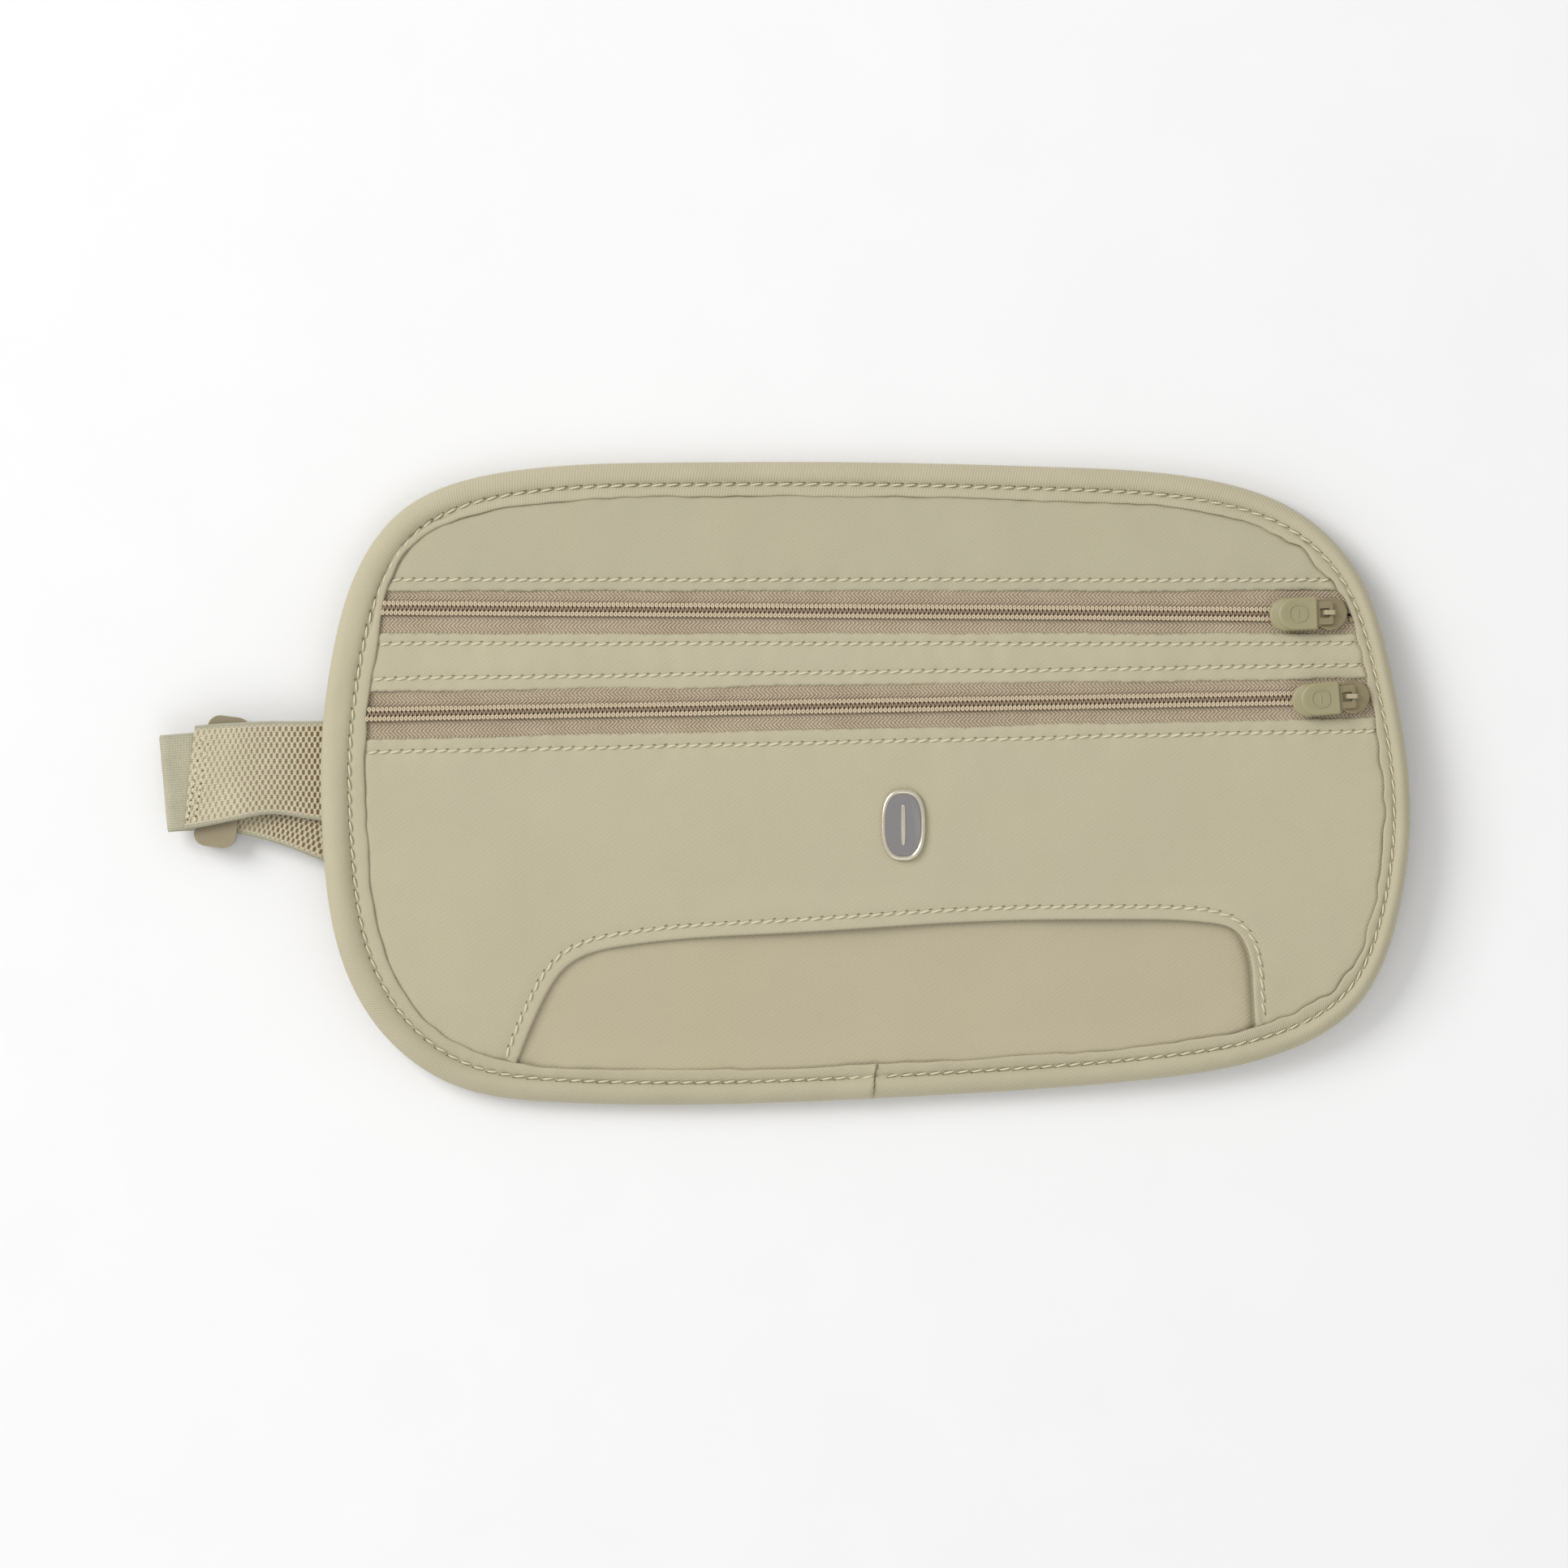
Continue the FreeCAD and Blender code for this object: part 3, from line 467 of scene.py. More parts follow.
def elastic_material():
    """Basket-woven elastic: plump cords with staggered slots between them, finer in the selvedges; the slots
    are painted dark brown as the shade inside them.
    """
    made = Shader("elastic_weave", 0.82, Sheen_Weight=0.1, Specular_IOR_Level=0.22)
    along, across, share = made.attribute("strap_place")
    row = made.math("FLOOR", made.math("DIVIDE", across, SLOT_LENGTH))
    shift = made.math("MULTIPLY", made.math("FLOORED_MODULO", row, 2.0), 0.5)
    a = made.math("SUBTRACT", made.math("FRACT", made.total(shift, (along, 1 / SLOT_PITCH))), 0.5)
    b = made.math("SUBTRACT", made.math("FRACT", made.math("DIVIDE", across, SLOT_LENGTH)), 0.5)
    a = made.math("DIVIDE", made.math("ABSOLUTE", a), made.total(0.13, (share, 0.1)))
    b = made.math("DIVIDE", made.math("ABSOLUTE", b), 0.46)
    steepness = made.math("ADD", made.math("POWER", a, 4.0), made.math("POWER", b, 6.0))
    slot = made.math("MULTIPLY", made.math("EXPONENT", made.math("MULTIPLY", steepness, -1.0)), share)
    picks = made.total(0.3, (made.wave(along, 0.55), 0.7))
    fine = made.math("MULTIPLY", made.wave(across, 0.62), picks)
    fibres = made.noise(2200.0, 2.0)
    amount = made.total(-0.35, (fine, 0.8), (made.noise(120.0, 2.0), 0.5), (fibres, 0.5))
    warm = made.mix(amount, colour(188, 178, 149), colour(226, 217, 190))
    cool = made.mix(amount, colour(154, 150, 127), colour(194, 190, 168))
    light = made.mix(made.math("MULTIPLY", share, 2.2), cool, warm)
    # Painted shade: the slots darken towards deep brown, more where the weave is more open.
    painted_slot_shade = made.mix(share, colour(148, 136, 106), colour(122, 98, 64))
    height = made.total(0.0, (fine, 0.5), (fibres, 0.3), (slot, -1.5))
    return made.finish(made.mix(slot, light, painted_slot_shade), height, 0.16)


def spacer_mesh_material():
    """Back panel: knitted spacer mesh with staggered round eyes, which are painted dark as the shade inside
    them.
    """
    made = Shader("spacer_mesh_knit", 0.88, Sheen_Weight=0.15, Specular_IOR_Level=0.2)
    x, y, _ = made.parts(made.position())
    rows = [made.math("MULTIPLY", made.wave(x, 3.0 * MM, phase), made.wave(y, 2.6 * MM, phase))
            for phase in (0.0, math.pi)]
    eyes = made.math("POWER", made.math("SMOOTH_MAX", *rows, 0.1), 3.0)
    fibres = made.noise(1500.0)
    amount = made.total(-0.1, (fibres, 0.4), (made.noise(40.0), 0.6))
    light = made.mix(amount, colour(158, 150, 126), colour(192, 185, 160))
    # Painted shade: the eyes are mixed towards a dark brown.
    tint = made.mix(made.math("MULTIPLY", eyes, 0.75), light, colour(92, 84, 66))
    return made.finish(tint, made.total(1.0, (eyes, -1.0), (fibres, 0.25)), 0.5)


def plastic(name, base, worn, roughness):
    """Moulded plastic with a faint grain and slightly rubbed edges."""
    made = Shader(name, roughness, Specular_IOR_Level=0.5)
    grain = made.noise(1400.0, 4.0)
    rough = made.total(roughness - 0.1, (grain, 0.2))
    return made.finish_worn(base, worn, (made.noise(150.0), 0.4), 0.52, 0.6, grain, rough, 0.03)


def metal(name, base, bright, roughness=0.38, metallic=0.75):
    """Painted or plated zip metal, brighter where it is rubbed."""
    made = Shader(name, roughness, Metallic=metallic)
    scratches = made.noise(900.0, 5.0, 0.7)
    rough = made.total(roughness - 0.12, (scratches, 0.25))
    return made.finish_worn(base, bright, (made.noise(220.0), 0.35), 0.5, 0.8, scratches, rough, 0.015)


def thread(name, base, shade):
    """Twisted sewing thread."""
    made = Shader(name, 0.7, Sheen_Weight=0.2, Specular_IOR_Level=0.3)
    twist = made.noise(3200.0, 2.0)
    amount = made.total(-0.1, (made.noise(400.0, 2.0), 0.5), (twist, 0.6))
    return made.finish(made.mix(amount, shade, base), twist, 0.05)


PANEL_CLOTH = cloth("panel_twill", colour(195, 187, 158), colour(183, 176, 148))
STRIP_CLOTH = cloth("strip_twill", colour(189, 182, 154), colour(177, 170, 144))
SLIP_CLOTH = cloth("slip_twill", colour(193, 183, 154), colour(182, 172, 144))
LINING_CLOTH = cloth("lining_taffeta", colour(184, 174, 150), colour(168, 158, 134), twill=0.4, depth=0.03)
BINDING_TAPE = ribbed_tape("binding_rib", colour(196, 188, 160), colour(179, 171, 144))
ZIP_TAPE = zip_tape_material()
ELASTIC = elastic_material()
SPACER_MESH = spacer_mesh_material()
BUCKLE_PLASTIC = plastic("buckle_moulding", colour(140, 128, 101), colour(156, 145, 118), 0.3)
PULL_RUBBER = plastic("pull_moulding", colour(149, 142, 106), colour(171, 162, 127), 0.45)
COIL_PLASTIC = plastic("coil_nylon", colour(138, 120, 98), colour(160, 142, 118), 0.4)
COIL_THREAD = thread("coil_stitching", colour(226, 210, 180), colour(198, 180, 150))
SEAM_THREAD = thread("seam_thread", colour(228, 220, 193), colour(204, 196, 165))
# Painted shade: the dark marks beside the stitches stand for the shade in the needle holes and under the
# threads.
PAINTED_STITCH_SHADE = thread("stitch_shade_paint", colour(128, 114, 80), colour(102, 89, 59))
SLIDER_METAL = metal("slider_plating", colour(140, 128, 98), colour(170, 158, 126))
# Painted highlight: the bridge gets a lighter, less metallic copy of the slider's plating, standing for the
# light on its top.
LIT_BRIDGE_METAL = metal("bridge_painted_highlight", colour(164, 152, 122), colour(192, 180, 150), 0.45, 0.3)
BADGE_METAL = metal("badge_plating", colour(200, 192, 170), colour(230, 222, 204), 0.25, 0.8)
BADGE_ENAMEL = plastic("badge_enamel", colour(128, 124, 125), colour(140, 137, 137), 0.3)


# --- Fabric panels ---

def slanted(line, x):
    """The height of a slanted line at x."""
    middle, tilt = line
    return middle + x * math.tan(math.radians(tilt))


def fold_y(line, x):
    """The height of a folded cloth edge at x: a slanted line with the small waves of sewing."""
    wave = 0.34 * wobble(x, line[0], 24, 0.5) + 0.14 * wobble(x, line[0] * 3, 6, 0.9)
    scallop = 0.07 * math.sin(2 * math.pi * x / SEAM_PITCH)
    return slanted(line, x) + wave + scallop


def loop_inside(inset):
    """The pouch's outline moved inwards, as a polygon."""
    return [tuple(p) for p in EDGE[::4] - EDGE_OUT[::4] * inset]


def clip(polygon, line, keep_above):
    """The part of a polygon on one side of a folded edge, whose waves become part of its outline."""
    side = 1 if keep_above else -1
    away = [side * (y - fold_y(line, x)) for x, y in polygon]
    count = len(polygon)
    first = next(i for i in range(count) if away[i] > 0 >= away[i - 1])
    last = next(i for i in range(first, first + count) if away[(i + 1) % count] <= 0)
    kept = [polygon[i % count] for i in range(first, last + 1)]
    last, after = last % count, (last + 1) % count
    leaving = crossing(polygon[last], polygon[after], away[last], away[after])
    entering = crossing(polygon[first - 1], polygon[first], away[first - 1], away[first])
    steps = int(abs(entering - leaving) / 1.2)
    fold = [(x, fold_y(line, x)) for x in np.linspace(leaving, entering, steps)]
    return kept + fold


def crossing(a, b, fa, fb):
    """The x where the line from a to b meets the edge."""
    return a[0] + (b[0] - a[0]) * fa / (fa - fb)


def distance_to(polyline, x, y):
    """The distance from a point to a polyline, both as arrays."""
    start, end = polyline[:-1], polyline[1:]
    along = end - start
    away = np.array([x, y]) - start
    share = np.clip((away * along).sum(1) / np.maximum((along ** 2).sum(1), 1e-9), 0, 1)
    return float(np.hypot(*(away - along * share[:, None]).T).min())


def inside(polygon, points):
    """For each point, whether it lies inside a polygon."""
    px, py = np.array(points, float).T
    found = np.zeros(len(px), bool)
    for (ax, ay), (bx, by) in zip(polygon, polygon[1:] + polygon[:1]):
        if ay != by:
            spans = (ay > py) != (by > py)
            found ^= spans & (px < (bx - ax) * (py - ay) / (by - ay) + ax)
    return found


def panel(name, polygon, level_at, spacing, rings, material, thickness=0.45):
    """Cloth cut to a polygon: even points inside, close rows along its folds, seams and rim."""
    marks = np.array([p for ring in rings for p in ring]).reshape(-1, 2)
    marks = marks[inside(polygon, marks)] if len(marks) else marks
    xs, ys = [p[0] for p in polygon], [p[1] for p in polygon]
    grid = []
    for row, y in enumerate(np.arange(min(ys), max(ys), spacing * 0.87)):
        start = min(xs) + (spacing / 2 if row % 2 else 0)
        grid += [(x, y) for x in np.arange(start, max(xs), spacing)]
    grid = np.array(grid)[inside(polygon, grid)]
    grid = [p for p in grid if not near(marks, *p, spacing * 0.6)]
    points = [Vector(p) for p in polygon] + [Vector(p) for p in marks] + [Vector(p) for p in grid]
    edges = [(i, (i + 1) % len(polygon)) for i in range(len(polygon))]
    found, _, faces, _, _, _ = geometry.delaunay_2d_cdt(points, edges, [], 1, 1e-4)
    vertices = [metres(p.x, p.y, level_at(p.x, p.y)) for p in found]
    piece = add_object(name, vertices, faces, material)
    face_up(piece)
    thicken(piece, thickness)
    return piece


def near(marks, x, y, reach):
    """Whether a point lies closer than "reach" to any of the marks."""
    return len(marks) > 0 and float(((marks - (x, y)) ** 2).sum(axis=1).min()) < reach * reach


def beside(line, *offsets):
    """Rows of points at offsets to the left of a line."""
    across = normals_of(line, False)
    return [[tuple(p) for p in line + across * offset] for offset in offsets]


def hem_rings(edge):
    """Rows of points beside a folded edge, close enough to shape its roll."""
    return beside(edge, 0.25, 0.6, 1.1, -0.25, -0.6, -1.1)


def rim_rings():
    """Rows of points beside the binding's inner edge, where the cloth dips."""
    return [[tuple(p) for p in INNER[::2] - EDGE_OUT[::2] * gap] for gap in (-0.5, 0.1, 0.6, 1.2)]


def seam_rings(row):
    """Rows of points along a seam, close enough to shape its groove."""
    return beside(row, -0.8, 0.0, 0.8)


def line_points(line):
    """Points along a folded edge, right across the pouch."""
    return np.array([(x, fold_y(line, x)) for x in np.arange(-136, 138, 1.0)])


def seam_points(line, low=-136, high=138):
    """Points along a seam between two values of x."""
    return np.array([(x, seam_y(line, x)) for x in np.arange(low, high, 1.1)])


def seam_y(line, x):
    """The height of a seam at x, which wanders a little from its line."""
    return slanted(line, x) + 0.24 * wobble(x, line[0], 21, 4.4)


# The seams lie this far from the folded edges at the zips, and those round the arch 3.3 to 2.3 mm.
ZIP_STITCH_GAP = 2.9
ARCH_LINE = spline(ARCH_EDGE, False, 170)
ARCH_OUT = normals_of(ARCH_LINE, False)
ARCH_STITCH = ARCH_LINE + ARCH_OUT * (3.3 - np.clip((ARCH_LINE[:, :1] - 88) / 8, 0, 1))
STITCH_LINES = [(line[0] + gap, line[1]) for line, gap in (
    (TOP_EDGE, ZIP_STITCH_GAP), (MIDDLE_UPPER_EDGE, -ZIP_STITCH_GAP),
    (MIDDLE_LOWER_EDGE, ZIP_STITCH_GAP + 0.6), (LOWER_EDGE, -ZIP_STITCH_GAP - 0.7))]


def fold_roll(distance):
    """How far the rounded edge of a fold drops at a distance from the fold."""
    radius = 0.8
    if distance >= radius:
        return 0.0
    return -radius * 0.85 * (1 - math.sqrt(max(0.0, 1 - (1 - distance / radius) ** 2)))


def seam_dent(distance, along):
    """The groove that a row of stitches pulls into the cloth, with puckers beside it."""
    groove = -0.42 * math.exp(-(distance / 0.8) ** 2)
    pucker = 0.3 * wobble(along, distance * 0.12, 4.2, 7.7) * math.exp(-(abs(distance) / 4.2) ** 2)
    return groove * (0.8 + 0.3 * wobble(along, 3.0, 3.0, 2.2)) + pucker


def cloth_wave(x, y):
    """The broad waves of the front, which the binding's inner half follows."""
    return 0.42 * wobble(x, y * 1.5, 55, 1.1) + 0.16 * wobble(x, y, 17, 4.2)


def rim_crease(x, y):
    """The front dips where it goes in under the binding, and puckers beside it."""
    gap = rim_gap(x, y)
    if gap > 9:
        return 0.0
    depth = 0.24 + 0.34 * ramp(x, 70, 115) + 0.3 * wobble(x, y, 17, 4.4)
    gap = max(gap, 0.0)
    puckers = 0.26 * wobble(x + y, x - y, 6.5, 2.9) * math.exp(-gap / 3.5)
    return puckers - depth * math.exp(-(gap / 0.5) ** 2)


def front_level(x, y):
    """The front cloth's height: broad waves, small creases, seams and folded edges."""
    level = FRONT_LEVEL + cloth_wave(x, y) + 0.07 * wobble(x * 0.7 + y, y - x, 6, 9.1)
    for line in STITCH_LINES:
        gap = abs(y - seam_y(line, x))
        if gap < 12:
            level += seam_dent(gap, x + line[0] * 3)
    for line in (TOP_EDGE, MIDDLE_UPPER_EDGE, MIDDLE_LOWER_EDGE, LOWER_EDGE):
        level += fold_roll(abs(y - fold_y(line, x)))
    return level + rim_crease(x, y)


def arch_lift(x, y, edge):
    """The pocket mouth stands open a little, most of all at its right."""
    share = ramp(x, -74, -14)
    held = ramp(rim_gap(x, y), 0, 9)
    return held * (0.35 + 1.15 * share) * math.exp(-edge / 6.5) * (0.8 + 0.35 * wobble(x, y, 26, 5.5))


def lower_level(x, y):
    """The front cloth's height below zip 2, which rises at the arch."""
    level = front_level(x, y)
    if y < -28:
        edge = distance_to(ARCH_LINE, x, y)
        seam = distance_to(ARCH_STITCH, x, y)
        level += fold_roll(edge)
        level += seam_dent(seam, x + y) if seam < 12 else 0.0
        level += arch_lift(x, y, edge)
    return level


def slip_level(x, y):
    """The slip pocket's height: it dips in the mouth and meets the binding at the rim."""
    mouth = ramp(x, -60, 60) * math.exp(-((y + 40) / 9) ** 2)
    waves = 0.2 * wobble(x, y * 1.3, 48, 3.3) + 0.08 * wobble(x, y, 14, 6.1)
    crease = 0.0
    if y < -55:
        mouth_share = ramp(x, -86, -77) * ramp(x, 99, 93)
        lifted = 0.75 * math.exp(-(max(0.0, rim_gap(x, y)) / 4.5) ** 2)
        crease = rim_crease(x, y) * 0.6 + lifted * mouth_share
    steep = ramp(x, 93, 98) * math.exp(-(distance_to(ARCH_LINE, x, y) / 1.2) ** 2)
    return 3.55 + waves - 0.35 * mouth + crease - steep


def lay(piece, node):
    """Hides the CAD part of a cloth that lies inside the binding, which the new mesh replaces."""
    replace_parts(piece, node)


def make_front():
    """The three cloths of the front, between and round the zips."""
    cut = loop_inside(3.4)
    top = panel("front_top_cloth", clip(cut, TOP_EDGE, True), front_level, 2.4,
                hem_rings(line_points(TOP_EDGE)) + seam_rings(seam_points(STITCH_LINES[0])) + rim_rings(),
                STRIP_CLOTH)
    lay(top, "front_top_strip")

    strip = clip(clip(cut, MIDDLE_UPPER_EDGE, False), MIDDLE_LOWER_EDGE, True)
    rings = hem_rings(line_points(MIDDLE_UPPER_EDGE)) + hem_rings(line_points(MIDDLE_LOWER_EDGE))
    for line in STITCH_LINES[1:3]:
        rings += seam_rings(seam_points(line))
    rings += rim_rings()
    middle = panel("front_middle_cloth", strip, front_level, 1.8, rings, PANEL_CLOTH)
    lay(middle, "front_middle_strip")

    below = clip(cut, LOWER_EDGE, False)
    start_at, end_at = (min(range(len(below)), key=lambda i: math.dist(below[i], foot))
                        for foot in (ARCH_LINE[0], ARCH_LINE[-1]))
    outline = below[start_at:] + below[:start_at]
    stop = (end_at - start_at) % len(below)
    arch = [tuple(p) for p in ARCH_LINE[inside(below, ARCH_LINE)]]
    polygon = outline[1:stop] + arch[::-1]
    rings = hem_rings(line_points(LOWER_EDGE)) + seam_rings(seam_points(STITCH_LINES[3]))
    rings += hem_rings(ARCH_LINE) + seam_rings(ARCH_STITCH) + rim_rings()
    lower = panel("front_lower_cloth", polygon, lower_level, 2.4, rings, PANEL_CLOTH)
    lay(lower, "front_lower_panel")


def flat_level(base, seed):
    """The height of a hidden layer, with its slow waves."""
    return lambda x, y: base + 0.15 * wobble(x, y, 50, seed)


def make_inner_layers():
    """The slip pocket, and the divider and lining behind the zips."""
    cut = loop_inside(3.4)
    rings = rim_rings() + beside(ARCH_LINE, 0.8, -0.1, -0.7, -1.4, -2.6)
    slip = panel("slip_pocket_cloth", clip(cut, (4.0, 0.0), False), slip_level, 3.0, rings, SLIP_CLOTH)
    lay(slip, "slip_pocket_panel")
    for name, base, seed in (("pocket_divider", 2.2, 1.7), ("back_lining", 1.9, 2.9)):
        layer = panel(name + "_cloth", loop_inside(3.6), flat_level(base, seed), 7.0, [], LINING_CLOTH,
                      0.2)
        lay(layer, name)


def make_back():
    """The spacer mesh that lies against the body."""
    back = panel("back_mesh", loop_inside(2.6), lambda x, y: 0.25 + 0.12 * wobble(x, y, 30, 8.8), 4.0, [],
                 SPACER_MESH, -1.3)
    lay(back, "back_panel")


# --- Binding ---

# Across the tape from its front inner fold, round the edge, to its back inner fold: the share of
# the width from the outer edge, and the level.
BINDING_PROFILE = [
    (1.0, 4.3), (1.012, 4.55), (1.0, 4.86), (0.97, 5.02), (0.91, 5.06), (0.82, 4.98), (0.75, 4.86),
    (0.70, 4.62), (0.66, 4.42), (0.62, 4.66), (0.57, 5.12), (0.50, 5.6), (0.40, 5.92), (0.29, 5.94),
    (0.18, 5.58), (0.09, 4.9), (0.03, 4.0), (0.005, 3.1), (0.0, 2.2), (0.015, 1.3), (0.06, 0.45),
    (0.13, -0.15), (0.23, -0.5), (0.38, -0.66), (0.55, -0.6), (0.66, -0.4), (0.78, -0.55),
    (0.92, -0.6), (1.0, -0.45), (1.01, -0.15),
]


# A face on the crown of this profile, which looks up.
CROWN_FACE = 12


def binding_lift(i, share, x, y):
    """How the front of the binding departs from its plain profile at a point."""
    along = PERIMETER * i / len(EDGE)
    puff = 0.26 * noise_round(i, 34, 1.3) + 0.16 * noise_round(i, 110, 5.1)
    for zip_end in (44, 18):
        puff -= 0.5 * math.exp(-((x + 137) ** 2 + (y - zip_end) ** 2) / 9 ** 2)
    crown = max(0.0, 1 - abs(share - 0.33) / 0.33)
    groove = math.exp(-((share - STITCH_SHARE) / 0.06) ** 2)
    pull = 0.5 + 0.5 * math.cos(2 * math.pi * along / STITCH_PITCH)
    inner = ramp(share, 0.45, 0.65)
    ripple = 0.13 * noise_round(i, 190, 8.2) * inner
    return puff * crown - 0.3 * pull * groove + inner * cloth_wave(x, y) + ripple


def make_binding():
    """One tape round the whole rim, whose ends lap at the bottom."""
    vertices, places = [], []
    stations = len(EDGE)
    for i in range(stations + 1):
        along = PERIMETER * i / stations
        at = i % stations
        width = BINDING_WIDTH - BINDING_SHIFT * EDGE_OUT[at][0]
        overlap = 0.55 * max(0.0, 1 - along / 9.0)
        for share, level in BINDING_PROFILE:
            x, y = binding_point(at, share + (inner_waver(at) if share > 0.8 and level > 3 else 0.0))
            if level > 3:
                level += binding_lift(at, share, x, y) + overlap
            slant = 1.6 * (share - 0.4) if i in (0, stations) else 0.0
            vertices.append(metres(x - slant, y, level))
            places.append((along, share * width, 0.0))
    faces = grid_faces(stations + 1, len(BINDING_PROFILE))
    piece = add_object("binding_cloth", vertices, faces, BINDING_TAPE)
    add_attribute(piece, "tape_place", places)
    face_up(piece, CROWN_FACE)
    thicken(piece, 0.4)
    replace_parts(piece, "edge_binding")


# --- Stitches ---

class Seam:
    """Rows of slanted stitches with painted shade marks at their ends."""

    def __init__(self):
        self.threads = Tubes()
        self.shade_marks = Tubes()

    def row(self, points, level_at, pitch, slant=12.0, length=0.94, radius=0.29, seed=0.0, shade_size=1.0):
        """Stitches along a polyline of (x, y); level_at gives the cloth's height there."""
        points = np.array(points)
        gaps = np.hypot(*np.diff(points, axis=0).T)
        places = np.concatenate([[0], np.cumsum(gaps)])
        up = Vector((0, 0, 1))
        for k in range(int(places[-1] / pitch)):
            middle = (k + 0.5) * pitch + 0.25 * wobble(k, seed, 1.7, 3.1)
            reach = pitch * length * (1 + 0.1 * wobble(k, seed, 1.3, 6.6))
            centre = sample(points, places, middle)
            along = sample(points, places, middle + 0.4) - sample(points, places, middle - 0.4)
            turn = math.atan2(along[1], along[0]) + math.radians(slant + 5 * wobble(k, seed, 1.1, 9.9))
            step = np.array([math.cos(turn), math.sin(turn)])
            path = []
            for j, height in enumerate((-0.14, 0.16, 0.3, 0.35, 0.32, 0.2, -0.08)):
                x, y = centre + step * reach * (j / 6 - 0.5)
                path.append(metres(x, y, level_at(x, y) + height))
            shape = [0.5, 0.8, 1.0, 1.05, 1.0, 0.85, 0.5]
            self.threads.add(path, [radius * MM * share for share in shape], up)
            # Painted shade: a thin dark tube beside each stitch's end, where the needle hole and the
            # thread's shadow darken the cloth.
            side = np.array([-step[1], step[0]]) * 0.17
            hole = []
            for reach_x in (-0.95, -0.4, 0.15, 0.55):
                x, y = centre + side + step * (reach / 2 + reach_x)
                hole.append(metres(x, y, level_at(x, y) + 0.06))
            self.shade_marks.add(hole, [shade_size * share * MM for share in (0.05, 0.1, 0.13, 0.06)], up)

    def pieces(self, name):
        self.threads.piece(name + "_threads", SEAM_THREAD, "pouch_cloth")
        self.shade_marks.piece(name + "_holes", PAINTED_STITCH_SHADE, "pouch_cloth")


def sample(points, places, at):
    """The point at a distance along a polyline; places holds its points' distances."""
    return np.array([np.interp(at, places, points[:, 0]), np.interp(at, places, points[:, 1])])


def window(y):
    """The lowest and highest x inside the binding at a height."""
    close = INNER[np.abs(INNER[:, 1] - y) < 1.2]
    return close[:, 0].min(), close[:, 0].max()


def make_stitches():
    """The seams at the zips, round the arch and along the binding."""
    for index, line in enumerate(STITCH_LINES):
        low, high = window(line[0])
        seam = Seam()
        seam.row(seam_points(line, low + 0.5, high), front_level, SEAM_PITCH, seed=index * 3.3)
        seam.pieces(f"zip_seam_{index + 1}")
    arch = Seam()
    inner = [p for p in ARCH_STITCH if rim_gap(*p) > 0.3]
    arch.row(inner, lower_level, 3.1, seed=21.0)
    arch.pieces("arch_seam")
    rim = Seam()
    ring = np.array([binding_point(i, STITCH_SHARE) for i in range(len(EDGE))])
    rim.row(np.vstack([ring, ring[:1]]), lambda x, y: 4.6 + cloth_wave(x, y), STITCH_PITCH,
            slant=9.0, length=0.84, radius=0.25, seed=33.0, shade_size=1.5)
    rim.pieces("binding_seam")


# --- Zips ---

def joint(name):
    return next(j for j in frame["joints"] if j["name"] == name)


def slider_place(name):
    """The slider's frame on the tape: x along the zip, z out of the cloth."""
    x = Vector(joint(name + "_slide")["axis"]).normalized()
    swing = joint(name + "_pull_swing")
    z = x.cross(Vector(swing["axis"])).normalized()
    y = z.cross(x)
    origin = Vector(swing["pos_m"]) - z * HINGE_HEIGHT * MM
    return Matrix.Translation(origin) @ Matrix((x, y, z)).transposed().to_4x4()


def pull_place(name):
    """The pull's frame at its hinge bar: y along the bar, -x towards the grip's end."""
    swing = joint(name + "_pull_swing")
    y = Vector(swing["axis"]).normalized()
    x = Vector(joint(name + "_slide")["axis"])
    z = x.cross(y).normalized()
    turn = Matrix((y.cross(z), y, z)).transposed().to_4x4()
    return Matrix.Translation(Vector(swing["pos_m"])) @ turn @ Matrix.Rotation(math.radians(-3.0), 4, "Y")


def zip_point(name, x, across, height):
    """A point beside a zip's middle line, above its tape."""
    return metres(x, slanted(ZIPS[name], x) + across, TAPE_LEVEL + height)


def make_tape(name, part, side):
    """One woven tape of a zip, from the chain out to under the front cloth."""
    vertices, places = [], []
    middle = ZIPS[name][0]
    offsets = [0.35, 1.2, 1.8, 2.3, 3.2, 4.4, 5.6, 7.0, 8.6, 10.2]
    heights = [-0.05, -0.02, 0.02, 0.1, 0.02, 0.0, 0.05, 0.0, -0.1, -0.2]
    columns = 190
    for offset, height in zip(offsets, heights):
        low, high = window(middle + side * offset)
        for x in np.linspace(low - 3, high + 3, columns):
            waver = 0.12 * wobble(x, offset, 11, 2.5)
            vertices.append(zip_point(name, x, side * offset, height + waver))
            places.append((x, offset, 0.0))
    faces = grid_faces(len(offsets), columns)
    piece = add_object(f"{name}_tape_{part}_cloth", vertices, faces, ZIP_TAPE)
    add_attribute(piece, "tape_place", places)
    face_up(piece)
    thicken(piece, 0.4)
    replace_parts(piece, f"{name}_tape_{part}")
    low, high = window(middle)


